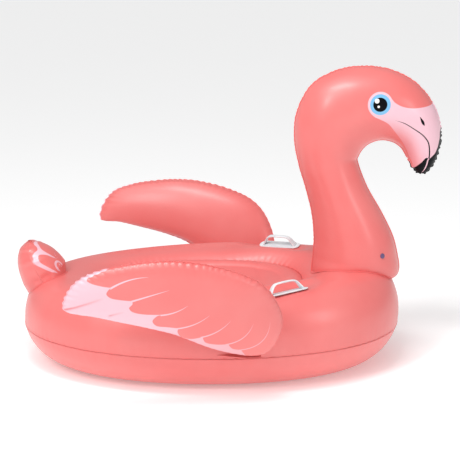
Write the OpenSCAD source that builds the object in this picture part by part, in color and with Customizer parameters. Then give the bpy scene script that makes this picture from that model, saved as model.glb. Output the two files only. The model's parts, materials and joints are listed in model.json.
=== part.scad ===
/* [Hull] */
// Length of the hull over its side seam
hull_l = 1292; // [1100:4:1600]
// Width of the hull over its side seam
hull_w = 884; // [760:4:1100]
// How square the hull is in plan, 2 for an ellipse
hull_square = 2.1; // [2:0.05:3]
// Height of the side seam above the floor
seam_z = 135; // [110:1:145]
// Height of the hull's widest line at the front
wide_z_front = 175; // [160:1:200]
// Height of the hull's widest line at the rear
wide_z_rear = 152; // [150:1:180]
// Height of the hull's crest at the front
crest_z_front = 334; // [310:1:380]
// Height of the hull's crest at the rear
crest_z_rear = 302; // [290:1:340]
// Distance from the widest line in to the crest
shoulder_r = 126; // [100:1:150]
// Width of the rounded flank under the widest line
flank_r = 175; // [140:1:190]
// How far the flank is pressed flat by the floor
flat_depth = 2; // [1:0.5:4]
// Thickness of each welded film panel
film = 2; // [1.5:0.1:3]

/* [Seat] */
// Length of the seat inside its crease
seat_l = 674; // [560:2:720]
// Width of the seat inside its crease
seat_w = 410; // [340:2:440]
// How square the seat is in plan
seat_square = 3; // [2.2:0.1:4]
// How far the seat's centre lies behind the hull's
seat_back = 21; // [0:1:60]
// Height of the crease in front of the rider
crease_z = 272; // [255:1:285]
// How much higher the crease is beside the rider
crease_rise = 15; // [0:1:20]
// Depth of the dished seat below its crease
seat_dish = 38; // [10:1:60]
// Height of the floor panel above the ground
floor_z = 20; // [12:1:30]
// Distance between the seat's cross webs
web_pitch = 190; // [150:5:210]
// Thickness of the cross webs and of the ring wall
web_t = 1.5; // [1:0.1:3]

/* [Neck and head] */
// Length of the neck's base along the hull
neck_base_l = 280; // [260:2:300]
// Width of the neck's base across the hull
neck_base_w = 240; // [220:2:250]
// How far in front of the hull's centre the neck stands
neck_forward = 484; // [470:1:500]
// Width of the weld flanges outside the film
weld_w = 5; // [3:0.5:8]

/* [Wings] */
// Angle of each wing above the horizontal
wing_rise = 73; // [68:1:80]
// Angle by which each wing's tip is turned outwards
wing_splay = 5.5; // [3:0.5:8]
// Distance from the centre line to a wing's root
wing_root_y = 478; // [470:1:520]
// Height of a wing's root above the floor
wing_root_z = 156; // [150:1:200]
// Bulge of each wing panel from the seam
wing_bulge = 46; // [30:1:50]

/* [Handles] */
// Length of a handle's base plate
plate_l = 158; // [130:2:180]
// Width of a handle's base plate
plate_w = 38; // [30:1:50]
// Thickness of a handle's base plate
plate_t = 2.5; // [2:0.1:5]
// Height of the grip above the base plate
grip_h = 34; // [30:1:50]
// Width of the grip band
grip_w = 22; // [16:1:30]
// Thickness of the grip band
grip_t = 5; // [4:0.5:8]
// Angle by which each handle is turned inwards at the front
handle_turn = 28; // [10:1:40]
// How far in front of the hull's centre the handles are
handle_forward = 248; // [200:1:260]
// Distance from the centre line to a handle
handle_y = 318; // [290:1:330]

/* [Valves] */
// Radius of a valve's weld flange
flange_r = 17; // [14:0.5:22]
// Outer radius of a valve's stem
stem_r = 7; // [6:0.25:9]
// Radius of a stem's air passage
bore_r = 4; // [3:0.25:5]
// Travel of a stem from pushed in to pulled out
stem_travel = 10; // [6:1:12]
// Length of a plug's shaft
plug_l = 8; // [6:0.5:10]
// Radial clearance of a plug or a stem in its bore
slip = 0.06; // [0.02:0.01:0.1]

/* [Hidden] */
$fn = 48;

// Origin: the floor under the middle of the whole float, +X towards the beak, +Z up
hull_x = -54;                 // middle of the hull's length
seat_x = hull_x - seat_back;
hull_a = hull_l / 2;
hull_b = hull_w / 2;
seat_a = seat_l / 2;
seat_b = seat_w / 2;
round_steps = 40;             // stations round the hull
gap = 0.5;                    // room between two welded pieces
weld_t = 2;                   // thickness of a weld lip
lip = weld_t / 2 + 0.3;       // distance of each panel's edge from its seam
strip_low = 2.9;              // height of a base weld's underside above the hull
strip_top = 4.4;              // height of its top
panel_lift = 7;              // height of a neck or tail panel's lower edge above the hull
crest_square = 2.2;           // how square the shoulder's section is
deck_power = 5;               // how late the deck drops to the seat's crease

film_pink = [0.97, 0.51, 0.5];
deep_pink = [0.93, 0.42, 0.42];
pale_pink = [0.99, 0.85, 0.88];

// ---- Curves ----
function mix(a, b, k) = a + (b - a) * k;
function smooth(k) = k * k * (3 - 2 * k);
function signed_pow(c, p) = sign(c) * pow(abs(c), p);
function oval(a, b, n, t) = [a * signed_pow(cos(t), 2 / n), b * signed_pow(sin(t), 2 / n)];
// Catmull-Rom value between p1 and p2
function curve(p0, p1, p2, p3, k) =
    0.5 * (2 * p1 + (p2 - p0) * k + (2 * p0 - 5 * p1 + 4 * p2 - p3) * k * k
    + (3 * p1 - p0 - 3 * p2 + p3) * k * k * k);
// Value at s along a list, where s runs from 0 to the last index
function along(list, s) =
    let (last = len(list) - 1, i = min(floor(s), last - 1))
    curve(list[max(i - 1, 0)], list[i], list[i + 1], list[min(i + 2, last)], s - i);
// Closed curve through a list of points
function closed_curve(list, steps) =
    let (n = len(list))
    [for (i = [0:n - 1]) for (k = [0:steps - 1])
        curve(list[(i + n - 1) % n], list[i], list[(i + 1) % n], list[(i + 2) % n], k / steps)];

// ---- Closed skin between an outside and an inside grid of points ----
function flat_list(g) = [for (row = g) for (p = row) p];
module skin(outside, inside, wrap = true) {
    n = len(outside);
    m = len(outside[0]);
    far = n * m;
    last = wrap ? n - 1 : n - 2;
    function at(i, j) = (i % n) * m + j;
    faces = concat(
        [for (i = [0:last]) for (j = [0:m - 2]) [at(i, j), at(i, j + 1), at(i + 1, j + 1), at(i + 1, j)]],
        [for (i = [0:last]) for (j = [0:m - 2])
            [far + at(i, j), far + at(i + 1, j), far + at(i + 1, j + 1), far + at(i, j + 1)]],
        [for (i = [0:last]) [at(i, 0), at(i + 1, 0), far + at(i + 1, 0), far + at(i, 0)]],
        [for (i = [0:last])
            [at(i, m - 1), far + at(i, m - 1), far + at(i + 1, m - 1), at(i + 1, m - 1)]],
        wrap ? [] : [for (j = [0:m - 2]) [at(0, j), far + at(0, j), far + at(0, j + 1), at(0, j + 1)]],
        wrap ? [] : [for (j = [0:m - 2])
            [at(n - 1, j), at(n - 1, j + 1), far + at(n - 1, j + 1), far + at(n - 1, j)]]
    );
    polyhedron(concat(flat_list(outside), flat_list(inside)), faces, convexity = 6);
}
// ---- Closed dish: rings that run in to a middle point ----
module dish(outside, inside, outside_mid, inside_mid) {
    n = len(outside);
    m = len(outside[0]);
    far = n * m;
    mid = 2 * far;
    function at(i, j) = (i % n) * m + j;
    faces = concat(
        [for (i = [0:n - 1]) for (j = [0:m - 2]) [at(i, j), at(i, j + 1), at(i + 1, j + 1), at(i + 1, j)]],
        [for (i = [0:n - 1]) for (j = [0:m - 2])
            [far + at(i, j), far + at(i + 1, j), far + at(i + 1, j + 1), far + at(i, j + 1)]],
        [for (i = [0:n - 1]) [at(i, 0), at(i + 1, 0), far + at(i + 1, 0), far + at(i, 0)]],
        [for (i = [0:n - 1]) [at(i, m - 1), mid, at(i + 1, m - 1)]],
        [for (i = [0:n - 1]) [far + at(i, m - 1), far + at(i + 1, m - 1), mid + 1]]
    );
    polyhedron(concat(flat_list(outside), flat_list(inside), [outside_mid, inside_mid]), faces, convexity = 6);
}

// ---- Hull form ----
// t is the station's angle in plan, inset the distance in from the side seam
function fore(t) = smooth((signed_pow(cos(t), 2 / hull_square) + 1) / 2);
function wide_z(t) = mix(wide_z_rear, wide_z_front, fore(t));
function crest_z(t) = mix(crest_z_rear, crest_z_front, fore(t));
function crease_at(t) = crease_z + crease_rise * pow(sin(t), 2);
function seam_cos(t) = sqrt(1 - pow((wide_z(t) - seam_z) / wide_z(t), 2));
function swell(t) = flank_r * (1 - seam_cos(t));
function hull_point(t, inset, z) =
    let (p = oval(hull_a - inset, hull_b - inset, hull_square, t)) [hull_x + p.x, p.y, z];
function seat_point(t, r, z) =
    let (p = oval(seat_a * r, seat_b * r, seat_square, t)) [seat_x + p.x, p.y, z];
// Flank: g runs from the widest line (0) down to the floor (-90), d is the depth below the surface
function flank_point(t, g, d) =
    hull_point(t, d - swell(t) + (flank_r - d) * (1 - cos(g)),
        max(wide_z(t) + (wide_z(t) + flat_depth - d) * sin(g), d));
// Shoulder: f runs from the widest line (0) up to the crest (90)
function shoulder_point(t, f, d) =
    hull_point(t, d - swell(t) + (shoulder_r - d) * (1 - cos(f)),
        wide_z(t) + (crest_z(t) - wide_z(t) - d) * pow(1 - pow(cos(f), crest_square), 1 / crest_square));
// Deck: k runs from the crest (0) in to the seat's crease (1)
function deck_point(t, k, d) =
    let (a = hull_point(t, shoulder_r - swell(t), 0), b = seat_point(t, 1, 0), p = mix(a, b, k))
    [p.x, p.y, mix(crest_z(t), crease_at(t), pow(k, deck_power)) - d];
// Edge of a panel at the side seam, a lip above or below it
function seam_point(t, up, d) =
    let (z = seam_z + up * lip, g = asin((z - wide_z(t)) / (wide_z(t) + flat_depth - d)))
    hull_point(t, d - swell(t) + (flank_r - d) * (1 - cos(g)), z);
function stations() = [for (i = [0:round_steps - 1]) i * 360 / round_steps];
function floor_angle(t) = -asin(wide_z(t) / (wide_z(t) + flat_depth));
function under_point(t, k, d) =
    let (inset = flank_r * (1 + cos(floor_angle(t))) - swell(t), a = hull_point(t, inset, 0), b = seat_point(t, 1, 0),
        p = mix(a, b, k))
    [p.x, p.y, floor_z * k * k + d];

// Height of the hull's top at any place under the neck, the tail or a handle
function inside_oval(x, y, inset) =
    pow(abs(x - hull_x) / (hull_a - inset), hull_square) + pow(abs(y) / (hull_b - inset), hull_square) < 1;
function find_inset(x, y, lo = -10, hi = 250, step = 0) =
    step > 14 ? lo
    : inside_oval(x, y, (lo + hi) / 2) ? find_inset(x, y, (lo + hi) / 2, hi, step + 1)
    : find_inset(x, y, lo, (lo + hi) / 2, step + 1);
function station_of(x, y) =
    atan2(signed_pow(y / hull_b, hull_square / 2), signed_pow((x - hull_x) / hull_a, hull_square / 2));
function deck_z(x, y) =
    let (t = station_of(x, y), inset = find_inset(x, y) + swell(t), c = min(1, max(0, 1 - inset / shoulder_r)),
        rise = pow(1 - pow(c, crest_square), 1 / crest_square),
        crest = hull_point(t, shoulder_r - swell(t), 0), edge = seat_point(t, 1, 0),
        k = inset < shoulder_r ? 0 : min(1, norm([x, y] - [crest.x, crest.y]) / norm(edge - crest)))
    inset < shoulder_r ? wide_z(t) + (crest_z(t) - wide_z(t)) * rise
    : mix(crest_z(t), crease_at(t), pow(k, deck_power));

// Height of the seat's surface
function seat_z(r, side) = crease_z + crease_rise * side * r * r - seat_dish * pow(1 - r * r, 2);
function seat_z_at(x, y) =
    let (r = max(0.01, pow(pow(abs(x - seat_x) / seat_a, seat_square) + pow(abs(y) / seat_b, seat_square),
        1 / seat_square)))
    seat_z(r, pow(abs(y) / (seat_b * r), seat_square));

// ---- Neck and head form ----
neck_mid_x = hull_x + neck_forward;
// Sections up the neck and over the head: back edge x, z, throat edge x, z, half width
neck_sections = [
    [300, 368, 591, 350, 121],
    [302, 430, 572, 425, 115],
    [293, 515, 530, 512, 104],
    [270, 605, 478, 602, 94],
    [246, 685, 444, 688, 90],
    [231, 770, 447, 712, 93],
    [238, 860, 458, 732, 98],
    [284, 950, 476, 750, 101],
    [366, 1000, 500, 762, 101],
    [460, 1015, 524, 767, 98],
    [556, 1001, 546, 765, 93],
    [640, 955, 570, 757, 84],
    [700, 880, 592, 741, 71],
    [725, 800, 607, 719, 56],
    [722, 732, 617, 698, 42],
    [702, 678, 627, 676, 27],
    [680, 653, 646, 655, 12]
];
neck_steps = 2;               // stations between two sections
neck_last = len(neck_sections) - 1;
// q runs from 0 at the back of the neck to 180 at the throat, side is -1 right or 1 left, d the depth
function neck_point(s, q, side, d) =
    let (v = along(neck_sections, s), back = [v[0], v[1]], throat = [v[2], v[3]], mid = (back + throat) / 2,
        h = norm(back - throat) / 2, dir = (back - throat) / (2 * h), p = mid + dir * (h - d) * cos(q))
    [p.x, side * (lip + (v[4] - lip - d) * sin(q)), p.y];
function neck_base_point(q, side, d, up) =
    let (x = neck_mid_x - (neck_base_l / 2 - d) * cos(q), y = (neck_base_w / 2 - lip - d) * sin(q))
    [x, side * (lip + y), deck_z(x, y) + up];

// ---- Tail form ----
tail_mid_x = hull_x - 569;
tail_base_l = 130;
tail_base_w = 180;
// Sections up the tail: front edge x, z, rear edge x, z, half width
tail_sections = [
    [-562, 338, -706, 262, 92],
    [-583, 363, -720, 313, 92],
    [-610, 386, -722, 353, 81],
    [-643, 403, -714, 384, 57],
    [-662, 410, -699, 400, 34],
    [-672, 412, -689, 408, 16]
];
tail_last = len(tail_sections) - 1;
tail_axis = [-0.25, 0.97];     // from the tail's base to its tip, x and z
// q is 0 at the front edge, 90 at the left seam, 180 at the rear edge
function tail_point(s, q, face, d) =
    let (v = along(tail_sections, s), front = [v[0], v[1]], rear = [v[2], v[3]], mid = (front + rear) / 2,
        h = norm(front - rear) / 2, dir = (front - rear) / (2 * h),
        p = mid + dir * (face * lip + (h - lip - d) * cos(q)))
    [p.x, (v[4] - d) * sin(q), p.y];
function tail_base_point(q, face, d, up) =
    let (x = tail_mid_x + face * lip + (tail_base_l / 2 - lip - d) * cos(q), y = (tail_base_w / 2 - d) * sin(q))
    [x, y, deck_z(x, y) + up];

// ---- Wing form, in the plane of the wing: x runs to the tip, y up the wing, z to the inner face ----
wing_root_x = 23;
wing_pitch = -1.3;
wing_outline = [
    [-88, 3], [62, 37], [206, 114], [420, 178], [524, 222], [446, 330], [185, 363], [-57, 290], [-153, 156]
];
wing_mid = [110, 190];
wing_rings = [1, 0.93, 0.8, 0.6, 0.35];
wing_edge = closed_curve(wing_outline, 3);
function wing_point(p, r, face, d) =
    let (e = norm(p - wing_mid), q = wing_mid + (p - wing_mid) * (r - d * (r > 0.9 ? 1 : 0) / e))
    [q.x, q.y, face * (lip + (wing_bulge - lip - d) * sqrt(1 - r * r))];

// ---- Places of the valves ----
neck_valve_s = 0.48;          // place up the neck's sections
neck_valve_q = 127;           // angle round the neck
hull_valve_t = 140;           // station round the hull
hull_valve_f = 38;            // angle up the shoulder
valve_sink = 4.6;             // how far the flange lies under the film's flattest facet
flange_t = 2;
rim_t = 1.5;                  // thickness of the stem's inner rim
rim_r = stem_r + 2;
flap_t = 0.8;
cap_t = 1.5;                  // thickness of the plug's cap
stem_out = 1;                 // how far the stem's mouth stands proud when pushed in
flange_drop = flange_r * flange_r / 220 + film + valve_sink;
stem_in = flange_drop + flange_t + stem_travel + rim_t + 1;

function unit(v) = v / norm(v);
function neck_normal(s, q) =
    unit(cross(neck_point(s, q + 1, -1, 0) - neck_point(s, q - 1, -1, 0),
        neck_point(s + 0.05, q, -1, 0) - neck_point(s - 0.05, q, -1, 0)));
function shoulder_normal(t, f) =
    unit(cross(shoulder_point(t + 1, f, 0) - shoulder_point(t - 1, f, 0),
        shoulder_point(t, f + 1, 0) - shoulder_point(t, f - 1, 0)));
neck_valve_at = neck_point(neck_valve_s, neck_valve_q, -1, 0);
neck_valve_dir = neck_normal(neck_valve_s, neck_valve_q);
hull_valve_at = shoulder_point(hull_valve_t, hull_valve_f, 0);
hull_valve_dir = shoulder_normal(hull_valve_t, hull_valve_f);

module aim(at, dir) {
    translate(at)
        rotate([0, acos(dir.z), atan2(dir.y, dir.x)])
            children();
}
module at_neck_valve() {
    aim(neck_valve_at, neck_valve_dir) children();
}
module at_hull_valve() {
    aim(hull_valve_at, hull_valve_dir) children();
}

// ---- Hull ----
module hull_upper_panel() {
    color(film_pink)
        difference() {
            skin([for (t = stations()) upper_row(t, 0)], [for (t = stations()) upper_row(t, film)]);
            at_hull_valve() cylinder(r = stem_r + 1, h = 30, center = true);
        }
}
function upper_row(t, d) = concat(
    [seam_point(t, 1, d)],
    [for (f = [0, 25, 48, 68, 90]) shoulder_point(t, f, d)],
    [for (k = [0.55, 0.8, 0.92, 1]) deck_point(t, k, d)]
);
module hull_lower_panel() {
    color(deep_pink)
        skin([for (t = stations()) lower_row(t, film)], [for (t = stations()) lower_row(t, 0)]);
}
function lower_row(t, d) =
    let (low = floor_angle(t), top = asin((seam_z - wide_z(t)) / wide_z(t)))
    concat(
        [seam_point(t, -1, d)],
        [for (k = [0.2, 0.45, 0.72, 1]) flank_point(t, mix(top, low, k), d)],
        [for (k = [0, 0.5, 1]) under_point(t, k, d)]
    );
module hull_side_weld() {
    color(pale_pink)
        translate([0, 0, seam_z - weld_t / 2])
            linear_extrude(weld_t)
                difference() {
                    polygon([for (t = stations()) let (p = hull_point(t, -weld_w, 0)) [p.x, p.y]]);
                    polygon([for (t = stations()) let (p = hull_point(t, film + weld_t, 0)) [p.x, p.y]]);
                }
}

// ---- Seat ----
seat_rings = [0.994, 0.85, 0.65, 0.4, 0.18];
module seat_panel() {
    color(film_pink)
        dish(
            [for (t = stations()) [for (r = seat_rings) seat_point(t, r, seat_z(r, pow(sin(t), 2)))]],
            [for (t = stations()) [for (r = seat_rings) seat_point(t, r, seat_z(r, pow(sin(t), 2)) - film)]],
            [seat_x, 0, crease_z - seat_dish],
            [seat_x, 0, crease_z - seat_dish - film]
        );
}
module floor_panel() {
    color(deep_pink)
        translate([0, 0, floor_z])
            linear_extrude(film)
                polygon([for (t = stations()) let (p = seat_point(t, 0.994, 0)) [p.x, p.y]]);
}
module seat_ring_wall() {
    low = floor_z + film + 1;
    function ring(grow) = [for (t = stations())
        let (p = oval(seat_a + grow, seat_b + grow, seat_square, t))
        [[seat_x + p.x, p.y, low], [seat_x + p.x, p.y, crease_at(t) - film - 1.5]]];
    color(pale_pink)
        skin(ring(1 + web_t), ring(1));
}
module seat_cross_webs() {
    color(pale_pink)
        for (k = [-1, 0, 1])
            translate([seat_x + k * web_pitch, 0, 0])
                rotate([90, 0, 90])
                    linear_extrude(web_t, center = true)
                        web_shape(k * web_pitch);
}
module web_shape(dx) {
    low = floor_z + film + 0.7;
    half = seat_b * pow(1 - pow(abs(dx) / seat_a, seat_square), 1 / seat_square) - 8;
    steps = 12;
    top = [for (i = [0:steps]) let (y = half * (1 - 2 * i / steps)) [y, seat_z_at(seat_x + dx, y) - film - 1.5]];
    polygon(concat([[-half, low], [half, low]], top));
}

// ---- Neck and head ----
neck_angles = [0, 20, 42, 66, 90, 114, 138, 160, 180];
module neck_half(side) {
    places = [for (i = [0:neck_last * neck_steps]) i / neck_steps];
    function rows(d) = concat(
        [[for (q = neck_angles) neck_base_point(q, side, d, panel_lift)]],
        [for (s = places) [for (q = neck_angles) neck_point(s, q, side, s == neck_last ? d / 2 : d)]]
    );
    if (side < 0) {
        skin(rows(film), rows(0), false);
    } else {
        skin(rows(0), rows(film), false);
    }
}
module neck_right_panel() {
    color(film_pink)
        difference() {
            neck_half(-1);
            at_neck_valve() cylinder(r = stem_r + 1, h = 30, center = true);
        }
}
module neck_left_panel() {
    color(film_pink) neck_half(1);
}
// Outline of the neck and head in the centre plane, moved outwards by grow and ending short of the tip
function neck_edge(grow, short = 0) =
    let (places = [for (i = [0:neck_last * 3 - short]) i / 3])
    concat(
        [neck_edge_at(0, 1, grow) - [0, 25]],
        [for (s = places) neck_edge_at(s, 1, grow)],
        [for (i = [0:len(places) - 1]) neck_edge_at(places[len(places) - 1 - i], -1, grow)],
        [neck_edge_at(0, -1, grow) - [0, 25]]
    );
function neck_edge_at(s, end, grow) =
    let (v = along(neck_sections, s), back = [v[0], v[1]], throat = [v[2], v[3]], mid = (back + throat) / 2,
        h = norm(back - throat) / 2, dir = (back - throat) / (2 * h))
    mid + dir * end * (h + grow);
module neck_centre_weld() {
    color(pale_pink)
        rotate([90, 0, 0])
            linear_extrude(weld_t, center = true)
                difference() {
                    polygon(neck_edge(weld_w));
                    polygon(neck_edge(-film - weld_t, 1));
                    translate([200, 200]) square([500, 146]);
                }
}
module neck_base_weld() {
    turns = [for (i = [0:35]) i * 10];
    function ring(grow, up) = [for (q = turns)
        let (x = neck_mid_x - (neck_base_l / 2 + grow) * cos(q), y = (neck_base_w / 2 + grow) * sin(q))
        [x, y, deck_z(x, y) + up]];
    inner_up = ring(-9, strip_top);
    outer_up = ring(9, strip_top);
    inner_low = ring(-9, strip_low);
    outer_low = ring(9, strip_low);
    color(deep_pink)
        skin([for (i = [0:35]) [inner_up[i], outer_up[i]]], [for (i = [0:35]) [inner_low[i], outer_low[i]]]);
}

// ---- Tail ----
tail_turns = [-90, -64, -32, 0, 32, 64, 90];
module tail_half(face) {
    places = [for (i = [0:tail_last * 2]) i / 2];
    function rows(d) = concat(
        [[for (q = tail_turns) tail_base_point(face > 0 ? q : q + 180, face, d, panel_lift)]],
        [for (s = places) [for (q = tail_turns)
            tail_point(s, face > 0 ? q : q + 180, face, s == tail_last ? d / 2 : d)]]
    );
    skin(rows(film), rows(0), false);
}
module tail_front_panel() {
    color(film_pink) tail_half(1);
}
module tail_rear_panel() {
    color(film_pink) tail_half(-1);
}
module tail_side_weld() {
    places = [for (i = [0:tail_last * 2]) i / 2];
    count = len(places);
    function lip_row(s, side, reach) =
        let (v = along(tail_sections, s), front = [v[0], v[1]], rear = [v[2], v[3]], dir = unit(front - rear),
            mid = (front + rear) / 2 + tail_axis * reach * pow(s / tail_last, 3),
            a = mid + dir * weld_t / 2, b = mid - dir * weld_t / 2)
        [[a.x, side * (v[4] + reach), a.y], [b.x, side * (v[4] + reach), b.y]];
    function rows(reach) = concat(
        [for (s = places) lip_row(s, 1, reach)],
        [for (i = [0:count - 1]) lip_row(places[count - 1 - i], -1, reach)]
    );
    color(pale_pink) skin(rows(-film), rows(weld_w), false);
}
module tail_base_weld() {
    turns = [for (i = [0:35]) i * 10];
    function ring(grow, up) = [for (q = turns)
        let (x = tail_mid_x - (tail_base_l / 2 + grow) * cos(q), y = (tail_base_w / 2 + grow) * sin(q))
        [x, y, deck_z(x, y) + up]];
    inner_up = ring(-8, strip_top);
    outer_up = ring(6, strip_top);
    inner_low = ring(-8, strip_low);
    outer_low = ring(6, strip_low);
    color(deep_pink)
        skin([for (i = [0:35]) [inner_up[i], outer_up[i]]], [for (i = [0:35]) [inner_low[i], outer_low[i]]]);
}

// ---- Wings ----
module wing_place() {
    translate([wing_root_x, -wing_root_y, wing_root_z])
        rotate([0, 0, 180 + wing_splay])
            rotate([wing_rise, 0, 0])
                rotate([0, 0, wing_pitch])
                    children();
}
module wing_half(face) {
    function rows(d) = [for (p = wing_edge) [for (r = wing_rings) wing_point(p, r, face, d)]];
    mid = [wing_mid.x, wing_mid.y, face * wing_bulge];
    in_mid = [wing_mid.x, wing_mid.y, face * (wing_bulge - film)];
    if (face > 0) {
        dish(rows(0), rows(film), mid, in_mid);
    } else {
        dish(rows(film), rows(0), in_mid, mid);
    }
}
module right_wing_outer_panel() {
    color(film_pink) wing_place() wing_half(-1);
}
module right_wing_inner_panel() {
    color(film_pink) wing_place() wing_half(1);
}
module right_wing_edge_weld() {
    function grown(reach) = [for (p = wing_edge) wing_mid + (p - wing_mid) * (1 + reach / norm(p - wing_mid))];
    color(pale_pink)
        wing_place()
            linear_extrude(weld_t, center = true)
                difference() {
                    polygon(grown(weld_w));
                    polygon(grown(-film - weld_t));
                }
}
root_front_x = 110;
root_rear_x = -50;
root_t = 3;
hinge_y = wing_root_y - 8;
hinge_z = wing_root_z - 8;
module right_wing_root_weld() {
    steps = 8;
    function row(x) =
        let (side = hull_b * pow(1 - pow(abs(x - hull_x) / hull_a, hull_square), 1 / hull_square),
            y0 = side + swell(90) + gap, y1 = hinge_y)
        [[x, -y0], [x, -y1]];
    rows = [for (i = [0:steps]) row(mix(root_rear_x, root_front_x, i / steps))];
    color(deep_pink)
        skin(
            [for (r = rows) [[r[0].x, r[0].y, hinge_z - root_t / 2], [r[1].x, r[1].y, hinge_z - root_t / 4]]],
            [for (r = rows) [[r[0].x, r[0].y, hinge_z + root_t / 2], [r[1].x, r[1].y, hinge_z + root_t / 4]]],
            false
        );
}
module left_wing_outer_panel() {
    mirror([0, 1, 0]) right_wing_outer_panel();
}
module left_wing_inner_panel() {
    mirror([0, 1, 0]) right_wing_inner_panel();
}
module left_wing_edge_weld() {
    mirror([0, 1, 0]) right_wing_edge_weld();
}
module left_wing_root_weld() {
    mirror([0, 1, 0]) right_wing_root_weld();
}

// ---- Handles ----
module right_handle() {
    reach = plate_l / 2 - plate_w / 2;
    at = [hull_x + handle_forward, -handle_y];
    fore_dir = [cos(handle_turn), sin(handle_turn)];
    side_dir = [-sin(handle_turn), cos(handle_turn)];
    front = at + fore_dir * reach;
    back = at - fore_dir * reach;
    left = at + side_dir * plate_w / 2;
    right = at - side_dir * plate_w / 2;
    pitch = atan((deck_z(front.x, front.y) - deck_z(back.x, back.y)) / (2 * reach));
    roll = atan((deck_z(left.x, left.y) - deck_z(right.x, right.y)) / plate_w);
    color("white")
        translate([at.x, at.y, deck_z(at.x, at.y) + gap])
            rotate([0, 0, handle_turn])
                rotate([0, -pitch, 0])
                    rotate([roll, 0, 0])
                        handle_shape(reach);
}
module handle_shape(reach) {
    linear_extrude(plate_t) {
        square([2 * reach, plate_w], center = true);
        translate([reach, 0]) circle(plate_w / 2);
        translate([-reach, 0]) circle(plate_w / 2);
    }
    foot = plate_l * 0.37;
    corner = grip_h * 0.35;
    shoulder = foot * 0.68;
    translate([0, 0, plate_t])
        rotate([90, 0, 0])
            linear_extrude(grip_w, center = true)
                difference() {
                    arch(foot, shoulder, grip_h - plate_t, corner);
                    translate([0, -0.01]) arch(foot - grip_t * 1.3, shoulder - grip_t * 0.6,
                        grip_h - plate_t - grip_t, corner * 0.8);
                }
}
module arch(foot, shoulder, h, r) {
    polygon([[-foot, 0], [foot, 0], [shoulder, h - r], [-shoulder, h - r]]);
    for (s = [-1, 1])
        translate([s * (shoulder - r), h - r]) circle(r);
    translate([-(shoulder - r), h - r]) square([2 * (shoulder - r), r]);
}
module left_handle() {
    mirror([0, 1, 0]) right_handle();
}

// ---- Valves: local +Z points out of the film, 0 is the film's surface ----
module valve_flange() {
    translate([0, 0, -flange_drop - flange_t])
        difference() {
            cylinder(r = flange_r, h = flange_t);
            translate([0, 0, -1]) cylinder(r = stem_r + slip, h = flange_t + 2);
        }
}
module valve_stem() {
    difference() {
        union() {
            translate([0, 0, -stem_in]) cylinder(r = stem_r, h = stem_in + stem_out);
            translate([0, 0, -stem_in]) cylinder(r = rim_r, h = rim_t);
        }
        translate([0, 0, -stem_in - 1]) cylinder(r = bore_r, h = stem_in + stem_out + 2);
    }
}
module valve_plug() {
    translate([0, 0, stem_out - plug_l]) cylinder(r = bore_r - slip, h = plug_l + 0.3);
    translate([0, 0, stem_out + 0.3]) cylinder(r = stem_r - 0.5, h = cap_t);
    translate([0, 0, stem_out + 0.3])
        linear_extrude(cap_t)
            translate([0, -2]) square([stem_r + 3, 4]);
}
module valve_flap() {
    translate([0, 0, -stem_in - 0.3 - flap_t]) cylinder(r = bore_r + 2, h = flap_t);
}
module neck_valve_flange() {
    color(pale_pink) at_neck_valve() valve_flange();
}
module neck_valve_stem() {
    color("plum") at_neck_valve() valve_stem();
}
module neck_valve_plug() {
    color("plum") at_neck_valve() valve_plug();
}
module neck_valve_flap() {
    color("white") at_neck_valve() valve_flap();
}
module hull_valve_flange() {
    color(pale_pink) at_hull_valve() valve_flange();
}
module hull_valve_stem() {
    color("plum") at_hull_valve() valve_stem();
}
module hull_valve_plug() {
    color("plum") at_hull_valve() valve_plug();
}
module hull_valve_flap() {
    color("white") at_hull_valve() valve_flap();
}

hull_upper_panel();
hull_lower_panel();
hull_side_weld();
seat_panel();
floor_panel();
seat_ring_wall();
seat_cross_webs();
neck_right_panel();
neck_left_panel();
neck_centre_weld();
neck_base_weld();
tail_front_panel();
tail_rear_panel();
tail_side_weld();
tail_base_weld();
right_wing_outer_panel();
right_wing_inner_panel();
right_wing_edge_weld();
right_wing_root_weld();
left_wing_outer_panel();
left_wing_inner_panel();
left_wing_edge_weld();
left_wing_root_weld();
right_handle();
left_handle();
neck_valve_flange();
neck_valve_stem();
neck_valve_plug();
neck_valve_flap();
hull_valve_flange();
hull_valve_stem();
hull_valve_plug();
hull_valve_flap();
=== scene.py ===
import json
import math

import bpy
import numpy as np
from mathutils import Matrix, Vector


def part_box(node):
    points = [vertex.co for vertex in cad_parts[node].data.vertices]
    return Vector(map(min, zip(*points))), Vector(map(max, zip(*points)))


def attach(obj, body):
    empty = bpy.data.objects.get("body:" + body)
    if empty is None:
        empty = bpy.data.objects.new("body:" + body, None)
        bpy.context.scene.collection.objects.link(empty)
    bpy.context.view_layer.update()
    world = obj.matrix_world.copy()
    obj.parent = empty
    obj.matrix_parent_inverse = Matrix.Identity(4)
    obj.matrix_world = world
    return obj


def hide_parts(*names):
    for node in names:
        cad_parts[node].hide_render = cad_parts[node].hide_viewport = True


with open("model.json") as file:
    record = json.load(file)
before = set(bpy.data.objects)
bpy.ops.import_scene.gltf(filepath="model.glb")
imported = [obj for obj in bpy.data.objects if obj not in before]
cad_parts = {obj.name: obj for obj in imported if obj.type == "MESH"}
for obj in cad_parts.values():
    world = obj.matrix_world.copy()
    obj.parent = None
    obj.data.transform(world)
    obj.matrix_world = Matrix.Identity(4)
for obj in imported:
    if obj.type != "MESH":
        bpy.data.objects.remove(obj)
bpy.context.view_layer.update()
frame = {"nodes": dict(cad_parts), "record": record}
print("frame loaded:", len(frame["nodes"]), "nodes")


# numbers shared by several pieces, in metres
def cornersOf(node):
    return [np.array(corner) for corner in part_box(node)]


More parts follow.
